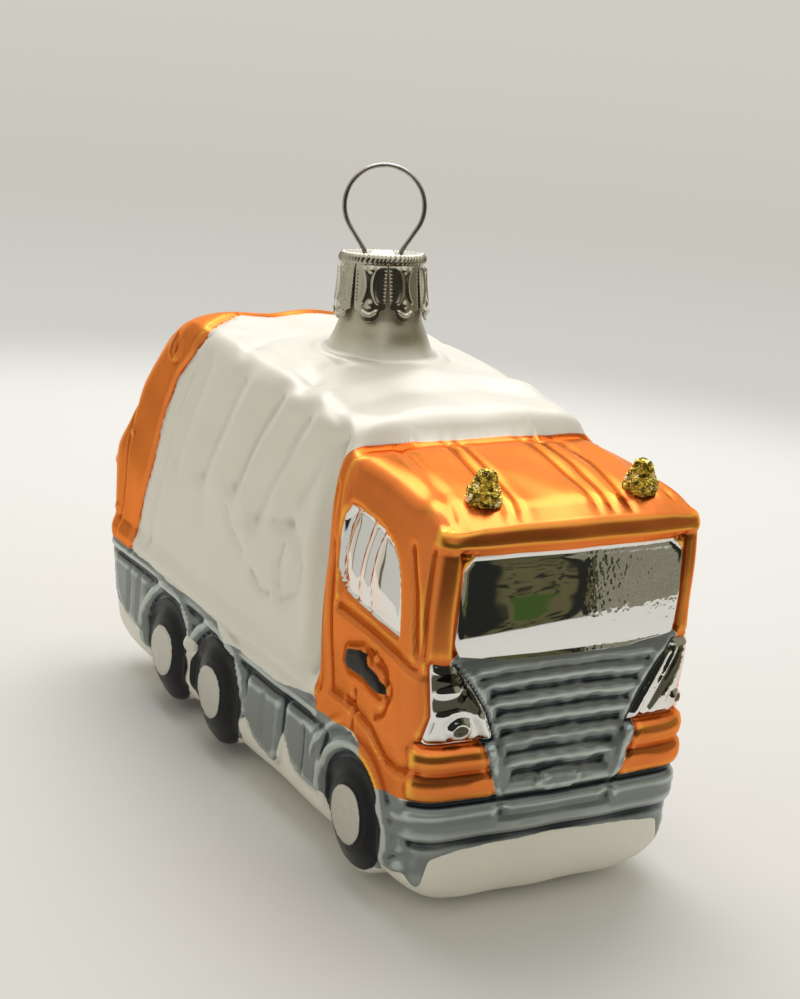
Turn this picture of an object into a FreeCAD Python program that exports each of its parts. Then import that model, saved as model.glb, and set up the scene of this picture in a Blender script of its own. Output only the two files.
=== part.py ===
import FreeCAD, Part
import math
import os

# Blown glass ornament in the shape of a three-axle refuse truck.
#
# The truck is one hollow glass shell, blown into a mould and lacquered. Windows, doors, grille, wheels and
# folds of the load box are relief in the glass: bars and rims stand proud of the plain form and panes and
# creases are sunk into it. Two roof knobs carry a coat of glitter. A stamped metal crown cap sits on the
# open glass neck, which leans a little towards the tail, and a sprung wire ring hangs through two holes
# in the cap. Lengths are in millimetres.
#
# Frame: +Z up, the cab faces -Y, the origin is on the flat of the belly, midway along and across.
# Along the truck, places are given as a distance behind the foremost point, and FRONT shifts them.

# ---- the truck -------------------------------------------------------------------------------------
LENGTH = 108.8             # bumper to tailgate
HALF_WIDTH = 21.8          # half the width of the moulded body
CAB_LENGTH = 31.0
CAB_HEIGHT = 58.0          # floor to cab roof
CAB_FACE = 1.0             # the plain face of the cab lies this far behind the foremost point
BOX_HEIGHT = 62.8          # floor to the roof of the load box
BOX_START = 28.4           # front wall of the load box
BOX_HALF_WIDTH = 20.9
GATE_HALF_WIDTH = 21.2
FRONT_CORNER = 4.0         # radius of the front corners, seen from above
TAIL_CORNER = 4.0
GATE_ROLL = 1.1            # the roll along the top of the tailgate rises this much over the roof
WAIST = 20.5               # top of the chassis
HULL_TOP = 26.0            # the chassis form runs up inside the other forms to here
BELLY_FLAT = 10.0          # half width of the flat that the ornament stands on
GLASS_WALL = 0.9
PROUD = 0.45               # height of raised relief
SUNK = 0.4                 # depth of sunk relief

# ---- wheels, moulded in the glass ------------------------------------------------------------------
AXLE_HEIGHT = 10.0
AXLES = (16.2, 60.8, 79.1)  # distance behind the front
TYRE_RADIUS = 8.7
HUB_RADIUS = 4.1
WHEEL_FACE = 23.2          # distance of the tyre face from the middle
WHEEL_ROOT = 15.0          # the wheel bulge melts into the belly from here
ARCH_GAP = 0.7             # between tyre and arch lip
ARCH_LIP = 1.5             # width of the lip

# ---- neck, cap and wire ----------------------------------------------------------------------------
NECK_FROM_FRONT = 57.4
NECK_LEAN = 6.0            # degrees that neck, cap and ring lean towards the tail
NECK_RADIUS = 6.1
NECK_RISE = 15.0           # from the roof to the glass rim
NECK_FLARE = 3.8           # radius of the flare that joins neck and roof
RIM_BEVEL = 0.5            # on the outer edge of the neck's rim
CAP_WALL = 0.3
CAP_CLEARANCE = 0.35       # between skirt and neck
CAP_SKIRT = 9.5            # height of the skirt with its petals
CAP_SPREAD = 0.4           # how much wider the petal tips stand than the top
CAP_SHOULDER = 1.1         # radius of the rolled edge between top and skirt
PETALS = 8
PETAL_TURN = 1.0           # degrees
PETAL_GAP = 0.9
TONGUE = 1.9               # height of the narrow tongue at each petal's tip
WIRE = 0.75
RING_RADIUS = 5.9          # to the middle of the wire
RING_DROP = 6.7            # from the ring's centre down to its feet
FOOT_HALF_SPREAD = 2.65    # half the distance between the two wire holes
HOLE_CLEARANCE = 0.25
RING_TURN = -31.0          # the ring's plane is turned this much from the truck's width, in degrees
LEG_LENGTH = 17.0          # sprung legs below the rim
LEG_CLEARANCE = 0.35       # between the sprung legs and the bore

# ---- roof beacons ----------------------------------------------------------------------------------
BEACON_X = 12.2
BEACON_FROM_FRONT = 7.0
BEACON_RADIUS = 1.9        # moulded glass knob
BEACON_HEIGHT = 3.2
GLITTER = 0.6              # thickness of the glitter coat

FRONT = -LENGTH / 2
NECK_Y = FRONT + NECK_FROM_FRONT
NECK_ROOT = BOX_HEIGHT - 0.4
RIM_Z = NECK_ROOT + NECK_RISE
BIG = 200.0
SHORTEST = 1e-4            # runs shorter than this are left out of an outline


# ---- outlines --------------------------------------------------------------------------------------
def moved_inward(points, inset):
    """The same outline with every side moved inward by inset. Points are (u, v, corner radius)."""
    count = len(points)
    moved = []
    for k in range(count):
        u0, v0 = points[k - 1][:2]
        u1, v1, radius = points[k]
        u2, v2 = points[(k + 1) % count][:2]
        before = math.hypot(u1 - u0, v1 - v0)
        after = math.hypot(u2 - u1, v2 - v1)
        n0 = (-(v1 - v0) / before, (u1 - u0) / before)
        n1 = (-(v2 - v1) / after, (u2 - u1) / after)
        spread = 1 + n0[0] * n1[0] + n0[1] * n1[1]
        u = u1 + inset * (n0[0] + n1[0]) / spread
        v = v1 + inset * (n0[1] + n1[1]) / spread
        convex = n0[0] * n1[1] - n0[1] * n1[0] > 0
        change = -inset if convex else inset
        moved.append((u, v, max(radius + change, 0.05) if radius else 0))
    return moved


def rounded_edges(points, place, closed=True):
    """Straight runs joined by tangent arcs, through points (u, v, corner radius); place turns (u, v) into a
    point in space."""
    count = len(points)
    starts, mids, ends = [], [], []
    for k in range(count):
        u, v, radius = points[k]
        corner = FreeCAD.Vector(u, v, 0)
        start = mid = end = corner
        if radius:
            back = FreeCAD.Vector(*points[k - 1][:2], 0) - corner
            ahead = FreeCAD.Vector(*points[(k + 1) % count][:2], 0) - corner
            half = back.getAngle(ahead) / 2
            room = [0.49 if neighbour[2] else 0.98 for neighbour in (points[k - 1], points[(k + 1) % count])]
            reach = min(radius / math.tan(half), room[0] * back.Length, room[1] * ahead.Length)
            real = reach * math.tan(half)
            back.normalize()
            ahead.normalize()
            start = corner + back * reach
            end = corner + ahead * reach
            mid = corner + (back + ahead).normalize() * (real / math.sin(half) - real)
        starts.append(start)
        mids.append(mid)
        ends.append(end)
    edges = []
    for k in range(count):
        if (starts[k] - ends[k]).Length > SHORTEST:
            edges.append(Part.Arc(place(starts[k]), place(mids[k]), place(ends[k])).toShape())
        following = starts[(k + 1) % count]
        last = k == count - 1 and not closed
        if (following - ends[k]).Length > SHORTEST and not last:
            edges.append(Part.makeLine(place(ends[k]), place(following)))
    return edges


def outline(points, place):
    """A closed face with straight sides and rounded corners."""
    return Part.Face(Part.Wire(rounded_edges(points, place)))


def side_prism(points, inset=0.0):
    """A side view, (distance behind the front, height, corner radius), carried across the truck."""
    return on_flanks(moved_inward(points, inset))


def both_halves(half_points):
    """Half a view, from its first point on the middle line to its last, completed by its mirror image."""
    return half_points + [(-u, v, r) for u, v, r in reversed(half_points) if u > 0]


def end_prism(half_points, inset=0.0):
    """Half an end view, (distance from the middle, height, radius) from the bottom up, mirrored and
    carried along the truck."""
    return on_end(moved_inward(both_halves(half_points), inset), -BIG / 2, BIG)


def plan_prism(half_points, inset=0.0):
    """Half a view from above, (distance from the middle, distance behind the front, radius), mirrored and
    carried upwards."""
    points = moved_inward(both_halves(half_points), inset)
    face = outline(points, lambda p: FreeCAD.Vector(p.x, FRONT + p.y, -BIG / 2))
    return face.extrude(FreeCAD.Vector(0, 0, BIG))


def slope_prism(half_points, low, high, inset=0.0):
    """Half a section, (distance from the middle, distance out from the slope, radius), mirrored and carried
    along the slope between two points of the side view."""
    rise = FreeCAD.Vector(0, high[0] - low[0], high[1] - low[1]).normalize()
    out = FreeCAD.Vector(0, rise.z, -rise.y)
    start = FreeCAD.Vector(0, FRONT + low[0], low[1]) - rise * BIG / 2
    points = moved_inward(both_halves(half_points), inset)
    face = outline(points, lambda p: start + FreeCAD.Vector(p.x, 0, 0) + out * p.y)
    return face.extrude(rise * BIG)


def on_flanks(points):
    """A prism right across the truck from an outline on its side."""
    face = outline(points, lambda p: FreeCAD.Vector(-BIG / 2, FRONT + p.x, p.y))
    return face.extrude(FreeCAD.Vector(BIG, 0, 0))


def on_end(points, start, stop):
    """A prism along the truck from an outline on its face or tail."""
    face = outline(points, lambda p: FreeCAD.Vector(p.x, FRONT + start, p.y))
    return face.extrude(FreeCAD.Vector(0, stop - start, 0))


def turned(profile, centre, axis):
    """A solid of revolution; profile holds (distance along the axis, distance from it, corner radius)."""
    axis = FreeCAD.Vector(*axis)
    across = FreeCAD.Vector(axis.y, axis.z, axis.x)
    centre = FreeCAD.Vector(*centre)
    face = outline(profile, lambda p: centre + axis * p.x + across * p.y)
    return face.revolve(centre, axis, 360)


# ---- the four moulded forms ------------------------------------------------------------------------
# Each form is a side view met by an end view, which gives it rounded ends and rounded shoulders.
def hull(inset):
    """Chassis and belly, from the chin under the bumper to the tail."""
    side = [(CAB_FACE, HULL_TOP, 0), (CAB_FACE, 11.0, 1.0), (CAB_FACE + 0.2, 7.0, 5.0), (5.5, 0.0, 6.0),
            (LENGTH - 20.0, 0.0, 30.0), (LENGTH - 6.5, 5.0, 6.0), (LENGTH - 2.4, WAIST, 4.0),
            (LENGTH - 2.4, HULL_TOP, 0)]
    end = [(0.0, 0.0, 0), (BELLY_FLAT, 0.0, 25.0), (HALF_WIDTH - 3.3, 2.6, 5.0),
           (HALF_WIDTH, 8.0, 4.0), (HALF_WIDTH, HULL_TOP, 0), (0.0, HULL_TOP, 0)]
    plan = [(0.0, CAB_FACE - 1.0, 0), (HALF_WIDTH + 0.4, CAB_FACE - 0.2, FRONT_CORNER),
            (HALF_WIDTH + 0.4, LENGTH - 2.0, TAIL_CORNER), (0.0, LENGTH - 2.0, 0)]
    return side_prism(side, inset).common(end_prism(end, inset)).common(plan_prism(plan, inset))


def cab(inset):
    """Cab with an upright face, a crowned roof and corners rounded in plan."""
    side = [(CAB_FACE, 12.0, 1.0), (CAB_LENGTH, 12.0, 0), (CAB_LENGTH, CAB_HEIGHT - 4.0, 2.5),
            (CAB_LENGTH - 2.6, CAB_HEIGHT, 3.0), (9.0, CAB_HEIGHT - 1.8, 12.0),
            (CAB_FACE + 0.6, CAB_HEIGHT - 3.4, 2.2)]
    end = [(0.0, 12.0, 0), (HALF_WIDTH, 12.0, 2.0), (HALF_WIDTH, 36.0, 20.0),
           (HALF_WIDTH - 1.6, CAB_HEIGHT - 1.6, 3.8), (0.0, CAB_HEIGHT + 0.3, 0)]
    plan = [(0.0, CAB_FACE - 1.0, 0), (HALF_WIDTH + 0.4, CAB_FACE - 0.2, FRONT_CORNER),
            (HALF_WIDTH + 0.4, 45.0, 0), (0.0, 45.0, 0)]
    return side_prism(side, inset).common(end_prism(end, inset)).common(plan_prism(plan, inset))


def load_box(inset):
    """Load box with an almost level roof, an upright front edge and soft shoulders."""
    side = [(BOX_START, 13.0, 0), (LENGTH - 6.0, 13.0, 0), (LENGTH - 8.0, 44.0, 20.0),
            (LENGTH - 21.0, BOX_HEIGHT, 5.0), (58.0, BOX_HEIGHT - 0.4, 60.0),
            (BOX_START + 8.0, BOX_HEIGHT - 1.0, 20.0), (BOX_START + 0.8, BOX_HEIGHT - 1.8, 2.6)]
    end = [(0.0, 13.0, 0), (BOX_HALF_WIDTH, 13.0, 0), (BOX_HALF_WIDTH, 42.0, 30.0),
           (BOX_HALF_WIDTH - 1.3, BOX_HEIGHT - 1.6, 4.4), (0.0, BOX_HEIGHT + 0.4, 0)]
    return side_prism(side, inset).common(end_prism(end, inset))


def tailgate(inset):
    """Bulged tailgate with its hopper and the roll along its top."""
    top = BOX_HEIGHT + GATE_ROLL
    lip = (LENGTH - 1.2, 37.4)
    roll = (LENGTH - 20.6, top)
    side = [(LENGTH - 12.0, 14.0, 0), (LENGTH - 2.6, 14.0, 0), (LENGTH - 1.6, 25.0, 6.0),
            (LENGTH, 34.0, 2.0), (*lip, 1.5), (LENGTH - 7.6, 45.5, 8.0),
            (LENGTH - 12.0, 53.0, 8.0), (*roll, 3.4), (LENGTH - 26.0, top, 2.4),
            (LENGTH - 27.4, BOX_HEIGHT - 2.0, 0), (LENGTH - 21.0, 45.5, 0), (LENGTH - 14.6, 30.0, 0)]
    end = [(0.0, 14.0, 0), (GATE_HALF_WIDTH, 14.0, 0), (GATE_HALF_WIDTH, 42.0, 30.0),
           (GATE_HALF_WIDTH - 1.4, BOX_HEIGHT - 0.6, 4.6), (0.0, top + 0.4, 0)]
    wide = GATE_HALF_WIDTH + 0.2
    plan = [(0.0, 45.0, 0), (wide, 45.0, 0), (wide, LENGTH + 0.2, TAIL_CORNER), (0.0, LENGTH + 0.8, 0)]
    back = [(0.0, -60.0, 0), (wide, -60.0, 0), (wide, 0.7, TAIL_CORNER), (0.0, 1.2, 0)]
    form = side_prism(side, inset).common(end_prism(end, inset)).common(plan_prism(plan, inset))
    return form.common(slope_prism(back, lip, roll, inset))


def leaned(shape):
    """Neck, cap and wire are built upright and then lean towards the tail about the foot of the neck."""
    shape.rotate(FreeCAD.Vector(0, NECK_Y, NECK_ROOT), FreeCAD.Vector(1, 0, 0), -NECK_LEAN)
    return shape


def neck(inset):
    """Open tube on the roof, with a round flare that runs out into the roof."""
    foot = NECK_ROOT - 3.4
    ledge = NECK_ROOT - 0.8 - inset
    radius = NECK_RADIUS - inset
    edge = radius + NECK_FLARE + inset + 0.6
    top = RIM_Z + max(inset, 0.0)
    bevel = RIM_BEVEL if inset <= 0 else 0.0
    profile = [(foot, 0.0, 0), (foot, edge, 0), (ledge, edge, 0), (ledge, radius, NECK_FLARE + inset),
               (top - bevel, radius, 0), (top, radius - bevel, 0), (top, 0.0, 0)]
    return leaned(turned(profile, (0, NECK_Y, 0), (0, 0, 1)))


FORMS = (hull, cab, load_box, tailgate, neck)


def fused(shapes):
    return shapes[0].multiFuse(shapes[1:]).removeSplitter()


def plain_form(inset):
    """The truck without its relief; a negative inset grows it."""
    return fused([form(inset) for form in FORMS])


# ---- relief tables ---------------------------------------------------------------------------------
# Outlines are (along, height, corner radius) on the flanks, (across, height, radius) on the face and the
# tail, and (across, along, radius) on the roof. Lines are (along, height) or (across, along).
PANES = (
    [(20.4, 39.6, 1.2), (24.8, 41.0, 2.0), (25.2, 50.3, 1.0), (20.4, 50.3, 0.6)],
    [(17.0, 39.2, 0.5), (19.3, 40.2, 0.5), (19.6, 50.4, 0.4), (17.4, 50.4, 0.4)],
    [(8.6, 38.4, 1.0), (15.8, 39.0, 0.8), (16.5, 50.3, 0.5), (13.6, 49.8, 1.5), (9.8, 45.8, 3.0)],
)
HANDLE = [(17.0, 28.2, 0.5), (23.2, 28.4, 0.5), (23.2, 30.8, 0.5), (17.6, 31.4, 1.0), (12.2, 29.0, 0.5),
          (12.8, 27.8, 0.4)]
TANKS = (
    [(26.0, 9.0, 2.0), (34.0, 8.6, 3.0), (37.6, 12.0, 1.5), (37.4, 17.0, 0.6), (25.8, 17.2, 0.6)],
    [(39.4, 7.4, 1.5), (46.4, 7.4, 2.5), (49.9, 11.0, 1.5), (49.6, 16.6, 0.6), (39.0, 17.0, 0.6)],
)
FLAP = [(1.4, 8.4, 1.0), (6.0, 6.6, 1.5), (9.0, 8.0, 0.6), (7.2, 14.4, 1.0), (1.6, 15.4, 0.6)]
SKIRT = [(89.6, 10.4, 0.8), (98.4, 10.0, 1.5), (102.4, 17.8, 0.8), (89.6, 17.8, 0.8)]
CHASSIS_RAIL = [(29.0, 20.0), (42.0, 18.6), (57.0, 18.8), (66.0, 20.2), (102.0, 20.2)]
PIVOT = (86.5, 57.6, 1.5)  # along, height, radius of the tailgate's hinge ring
DOOR_CREASES = (           # width, line
    (0.7, [(25.6, 36.4), (9.0, 35.5), (4.4, 34.6)]),
    (0.7, [(27.9, 44.0), (26.9, 36.0), (25.0, 24.3), (18.4, 24.1), (13.5, 23.2), (10.0, 21.2), (4.0, 21.2)]),
)
GATE_CREASES = (
    (0.8, [(78.4, 61.0), (80.7, 57.8), (84.9, 53.4), (87.8, 48.0), (91.5, 38.1), (95.5, 27.8), (96.6, 21.4)]),
    (0.6, [(80.2, 54.0), (83.4, 48.0), (87.6, 36.2), (90.4, 25.0)]),
)
FOLDS = (                  # width, line on the load box
    (2.2, [(33.8, 56.4), (37.8, 51.6), (43.8, 42.6)]),
    (2.0, [(43.6, 55.8), (48.4, 48.8), (54.4, 39.6)]),
    (2.0, [(53.0, 56.2), (58.0, 48.8), (62.4, 41.6)]),
    (1.9, [(64.2, 56.0), (68.4, 49.4), (73.4, 40.4)]),
    (1.2, [(39.6, 38.0), (40.8, 32.8), (44.0, 30.8)]),
)
WINDSHIELD = [(0.0, 36.0, 0), (10.0, 36.2, 8.0), (17.3, 37.4, 1.5), (17.0, 50.0, 2.0), (0.0, 50.0, 0)]
GRILLE_SLOTS = (           # middle height, half width, half height
    (34.0, 14.4, 0.55),
    (31.4, 12.8, 0.75),
    (28.7, 11.5, 0.75),
    (25.9, 10.6, 0.80),
    (23.1, 9.6, 0.80),
    (20.2, 8.6, 0.85),
)
LAMP = [(11.6, 25.4, 0.5), (20.6, 25.4, 0.8), (20.6, 35.8, 0.8), (18.6, 35.8, 0.6), (16.2, 32.6, 2.0)]
LENS = (18.6, 27.8, 1.2)   # across, height, radius
CORNER_BARS = ((23.6, 1.6), (20.6, 1.8))        # middle height, height
BUMPER = (11.4, 16.6)      # bottom and top
VISOR = (51.0, 54.0)
POST = (18.5, 21.4)        # the pillar beside the windshield, across
ROOF_RIDGES = (            # line on the cab roof
    [(-14.2, 27.0), (-13.0, 7.0)],
    [(-4.2, 27.0), (-2.6, 6.0)],
    [(-2.0, 27.0), (-0.4, 6.0)],
    [(7.4, 27.0), (9.0, 6.0)],
    [(14.6, 27.0), (16.4, 7.0)],
)
RIDGE_WIDTH = 0.9
TAIL_PANEL = [(0.0, 23.6, 0), (13.0, 23.6, 1.0), (13.0, 30.2, 1.0), (0.0, 30.2, 0)]
TAIL_RIBS = (7.2, 15.6)    # across
TAIL_LIP = (32.6, 34.6)    # bottom and top of the hopper's edge
TAIL_LAMPS = (24.8, 29.0)  # heights
TAIL_LAMP_PLACE = (17.4, 1.7)  # across, radius


def band(line, width):
    """Outline of a strip of that width along a broken line."""
    left, right = [], []
    for k, (u, v) in enumerate(line):
        u0, v0 = line[max(k - 1, 0)]
        u1, v1 = line[min(k + 1, len(line) - 1)]
        length = math.hypot(u1 - u0, v1 - v0)
        shift_u = -(v1 - v0) / length * width / 2
        shift_v = (u1 - u0) / length * width / 2
        left.append((u + shift_u, v + shift_v, 0))
        right.append((u - shift_u, v - shift_v, 0))
    return left + right[::-1]


def mirrored(half_points):
    """Half an outline and its mirror image as one; a half that stays clear of the middle gives two."""
    other = [(-u, v, r) for u, v, r in reversed(half_points)]
    if half_points[0][0] == 0.0:
        return [half_points + other[1:-1]]
    return [half_points, other]


def on_face(points):
    return on_end(points, -3.0, 9.0)


def on_tail(points):
    return on_end(points, LENGTH - 14.0, LENGTH + 3.0)


def on_cab_roof(points):
    face = outline(points, lambda p: FreeCAD.Vector(p.x, FRONT + p.y, CAB_HEIGHT - 6.0))
    return face.extrude(FreeCAD.Vector(0, 0, 9.0))


def strip(low, high, across):
    """A level bar on the face or tail, from one side to the other."""
    return [(-across, low, 0), (across, low, 0), (across, high, 0), (-across, high, 0)]


def disc(along, height, radius):
    """A round bar right across the truck."""
    return Part.makeCylinder(radius, BIG, FreeCAD.Vector(-BIG / 2, FRONT + along, height),
                             FreeCAD.Vector(1, 0, 0))


def round_spots(across, height, radius, start, length):
    """A pair of round bars along the truck, on its face or tail."""
    return [Part.makeCylinder(radius, length, FreeCAD.Vector(side * across, FRONT + start, height),
                              FreeCAD.Vector(0, 1, 0)) for side in (-1, 1)]


def arch(axle):
    """Lip round the upper part of a wheel."""
    inner = TYRE_RADIUS + ARCH_GAP
    ring = disc(axle, AXLE_HEIGHT, inner + ARCH_LIP).cut(disc(axle, AXLE_HEIGHT, inner))
    below = Part.makeBox(BIG, BIG, AXLE_HEIGHT, FreeCAD.Vector(-BIG / 2, -BIG / 2, -1.0))
    return ring.cut(below)


def raised_relief():
    """Everything that stands proud of the plain form, as bars that reach into it."""
    flanks = [arch(axle) for axle in AXLES]
    flanks += [on_flanks(points) for points in TANKS + (HANDLE, FLAP, SKIRT, band(CHASSIS_RAIL, 1.2))]
    along, height, radius = PIVOT
    flanks.append(disc(along, height, radius + 0.5).cut(disc(along, height, radius - 0.5)))
    ends = [on_face(strip(*VISOR, HALF_WIDTH)), on_face(strip(*BUMPER, HALF_WIDTH + 1))]
    for middle, tall in CORNER_BARS:
        for points in mirrored([(11.0, middle - tall / 2, 0), (HALF_WIDTH + 1, middle - tall / 2, 0),
                                (HALF_WIDTH + 1, middle + tall / 2, 0), (11.0, middle + tall / 2, 0)]):
            ends.append(on_face(points))
    inner, outer = POST
    for points in mirrored([(inner, 37.0, 0), (outer, 37.0, 0), (outer, VISOR[0], 0), (inner, VISOR[0], 0)]):
        ends.append(on_face(points))
    ends += round_spots(*LENS, -3.0, 12.0)
    ends.append(on_tail(strip(*TAIL_LIP, GATE_HALF_WIDTH)))
    for middle in TAIL_RIBS:
        for points in mirrored([(middle - 0.7, 34.0, 0), (middle + 0.7, 34.0, 0), (middle + 0.7, 52.0, 0),
                                (middle - 0.7, 52.0, 0)]):
            ends.append(on_tail(points))
    across, radius = TAIL_LAMP_PLACE
    for height in TAIL_LAMPS:
        ends += round_spots(across, height, radius, LENGTH - 14.0, 17.0)
    ridges = [on_cab_roof(band(line, RIDGE_WIDTH)) for line in ROOF_RIDGES]
    return flanks + ends + ridges


def sunk_relief():
    """Everything that is sunk into the plain form, as bars that reach right into it."""
    tools = [on_flanks(points) for points in PANES]
    tools += [on_flanks(band(line, width)) for width, line in DOOR_CREASES + GATE_CREASES + FOLDS]
    tools += [on_face(points) for points in mirrored(WINDSHIELD) + mirrored(LAMP)]
    for middle, half_width, half_height in GRILLE_SLOTS:
        points = [(u, middle + v, half_height * 0.9) for u, v in
                  ((-half_width, -half_height), (half_width, -half_height),
                   (half_width, half_height), (-half_width, half_height))]
        tools.append(on_face(points))
    tools += [on_tail(points) for points in mirrored(TAIL_PANEL)]
    return tools


# ---- details moulded in the glass ------------------------------------------------------------------
def wheel(axle, side):
    """Moulded wheel: tyre wall with a rounded edge, a groove round the hub and a domed hub."""
    face = WHEEL_FACE
    profile = [(WHEEL_ROOT, 0.0, 0), (WHEEL_ROOT, TYRE_RADIUS, 0), (face - 0.9, TYRE_RADIUS, 0),
               (face - 0.3, TYRE_RADIUS - 0.3, 0), (face, TYRE_RADIUS - 0.9, 0),
               (face, HUB_RADIUS + 0.6, 0), (face - 0.6, HUB_RADIUS, 0), (face - 0.2, 0.0, 0)]
    profile = [(side * along, radius, corner) for along, radius, corner in profile]
    return turned(profile, (0, FRONT + axle, AXLE_HEIGHT), (1, 0, 0))


def beacon_knob(side, thickness):
    """Roof knob: a blunt cone on a round foot, thickness larger all over."""
    foot = CAB_HEIGHT - 4.4
    shoulder = CAB_HEIGHT - 0.9
    top = CAB_HEIGHT - 2.0 + BEACON_HEIGHT + BEACON_RADIUS / 2 + thickness
    radius = BEACON_RADIUS + thickness
    profile = [(foot, 0.0, 0), (foot, radius, 0), (shoulder, radius, 0), (shoulder + 0.8, radius - 0.8, 0),
               (top, radius - 1.3, 0.5), (top, 0.0, 0)]
    return turned(profile, (side * BEACON_X, FRONT + BEACON_FROM_FRONT, 0), (0, 0, 1))


def glass_body():
    """The outside with its relief as one solid, and the same with the hollow cut out of it."""
    proud = fused(raised_relief()).common(plain_form(-PROUD))
    sunk = fused(sunk_relief()).cut(plain_form(SUNK))
    outside = fused([plain_form(0.0), proud])
    outside = outside.cut(sunk)
    details = [wheel(axle, side) for axle in AXLES for side in (-1, 1)]
    details += [beacon_knob(side, 0.0) for side in (-1, 1)]
    outside = fused([outside] + details)
    return outside, outside.cut(plain_form(GLASS_WALL))


def glitter_coat(side, outside):
    """Glitter on a knob, down to the roof."""
    coat = beacon_knob(side, GLITTER).cut(outside)
    return max(coat.Solids, key=lambda solid: solid.Volume)


# ---- crown cap -------------------------------------------------------------------------------------
CAP_INSIDE = NECK_RADIUS + CAP_CLEARANCE
CAP_OUTSIDE = CAP_INSIDE + CAP_WALL
CAP_TOP = RIM_Z + CAP_WALL


def on_ring(along, height, across=0.0):
    """A point given in the upright plane of the ring: along it, up, and square to it."""
    turn = math.radians(RING_TURN)
    return FreeCAD.Vector(along * math.cos(turn) - across * math.sin(turn),
                          NECK_Y + along * math.sin(turn) + across * math.cos(turn), height)


def petal_gap(number):
    """The slit between two petals. It widens in a step above the tips, which leaves each a narrow tongue."""
    bottom = CAP_TOP - CAP_SKIRT - 0.5
    step = CAP_TOP - CAP_SKIRT + TONGUE
    top = CAP_TOP - CAP_SHOULDER - 0.6
    slit = PETAL_GAP / 2
    points = [(-1.9, bottom, 0), (1.9, bottom, 0), (1.5, step - 0.4, 0), (slit, step, 0), (slit, top, 0),
              (-slit, top, 0), (-slit, step, 0), (-1.5, step - 0.4, 0)]
    gap = outline(points, lambda p: FreeCAD.Vector(CAP_INSIDE - 2, p.x, p.y)).extrude(FreeCAD.Vector(6, 0, 0))
    gap.rotate(FreeCAD.Vector(0, 0, 0), FreeCAD.Vector(0, 0, 1), PETAL_TURN + 360 * (number + 0.5) / PETALS)
    gap.translate(FreeCAD.Vector(0, NECK_Y, 0))
    return gap


def crown_cap():
    """Stamped cap: a flat top that rests on the glass rim, and a skirt cut into petals."""
    foot = CAP_TOP - CAP_SKIRT
    profile = [(RIM_Z, 0.0, 0), (RIM_Z, CAP_INSIDE, CAP_SHOULDER - CAP_WALL),
               (foot, CAP_INSIDE + CAP_SPREAD, 0), (foot, CAP_OUTSIDE + CAP_SPREAD, 0),
               (CAP_TOP, CAP_OUTSIDE, CAP_SHOULDER), (CAP_TOP, 0.0, 0)]
    cap = turned(profile, (0, NECK_Y, 0), (0, 0, 1))
    for number in range(PETALS):
        cap = cap.cut(petal_gap(number))
    reach = FOOT_HALF_SPREAD - 0.9
    corners = [(-reach, -1.6, 0.7), (reach, -1.6, 0.7), (reach, 1.6, 0.7), (-reach, 1.6, 0.7)]
    boss = outline(corners, lambda p: on_ring(p.x, CAP_TOP - 0.1, p.y)).extrude(FreeCAD.Vector(0, 0, 0.7))
    boss = boss.makeFillet(0.35, [edge for edge in boss.Edges if edge.BoundBox.ZMin > CAP_TOP + 0.4])
    cap = cap.fuse(boss)
    for side in (-1, 1):
        hole = Part.makeCylinder(WIRE / 2 + HOLE_CLEARANCE, 3, on_ring(side * FOOT_HALF_SPREAD, RIM_Z - 1))
        cap = cap.cut(hole)
    return leaned(cap)


# ---- wire ring with its sprung legs ----------------------------------------------------------------
def wire_hanger():
    """One round wire: a ring that closes in straight runs to its two feet, which pass through the cap, and
    legs that splay into the neck."""
    knee = CAP_TOP + 0.3
    centre = knee + RING_DROP
    slant = math.atan2(RING_DROP, FOOT_HALF_SPREAD)
    touch = slant - math.acos(RING_RADIUS / math.hypot(RING_DROP, FOOT_HALF_SPREAD))
    shoulder = RING_RADIUS * math.cos(touch)
    shoulder_height = centre - RING_RADIUS * math.sin(touch)
    splay = NECK_RADIUS - GLASS_WALL - LEG_CLEARANCE - WIRE / 2
    leg_end = RIM_Z - LEG_LENGTH
    under = RIM_Z - 1.4
    leg = [(splay, leg_end, 0), (FOOT_HALF_SPREAD, under, 1.5), (FOOT_HALF_SPREAD, knee, 1.5),
           (shoulder, shoulder_height, 0)]
    left, right = [rounded_edges(leg, lambda p: on_ring(side * p.x, p.y), closed=False) for side in (-1, 1)]
    ring = Part.Arc(on_ring(-shoulder, shoulder_height), on_ring(0, centre + RING_RADIUS),
                    on_ring(shoulder, shoulder_height)).toShape()
    path = Part.Wire(left + [ring] + right[::-1])
    start = on_ring(-splay, leg_end)
    circle = Part.makeCircle(WIRE / 2, start, on_ring(-FOOT_HALF_SPREAD, under) - start)
    return leaned(path.makePipeShell([Part.Wire(circle)], True, False))


def main():
    outside, glass = glass_body()
    nodes = {
        "glass_body": glass,
        "beacon_right": glitter_coat(-1, outside),
        "beacon_left": glitter_coat(1, outside),
        "crown_cap": crown_cap(),
        "wire_hanger": wire_hanger(),
    }
    os.makedirs("parts", exist_ok=True)
    for name, shape in nodes.items():
        if not shape.isValid() or len(shape.Solids) != 1:
            raise RuntimeError(name + " is not one sound solid")
        shape.exportStep("parts/" + name + ".step")
        print(name, round(shape.Volume, 1), shape.BoundBox)


main()
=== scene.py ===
"""Looks of a blown glass ornament in the shape of a refuse truck.

Every surface is worked out as a grid of points in millimetres and handed over in metres. Along the truck,
s is the distance behind its foremost point; z is the height above the shelf; x is the distance from the
middle, and both sides are alike.
"""
import math

import bmesh
import bpy
import numpy as np
from mathutils import Matrix, Vector


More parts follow.
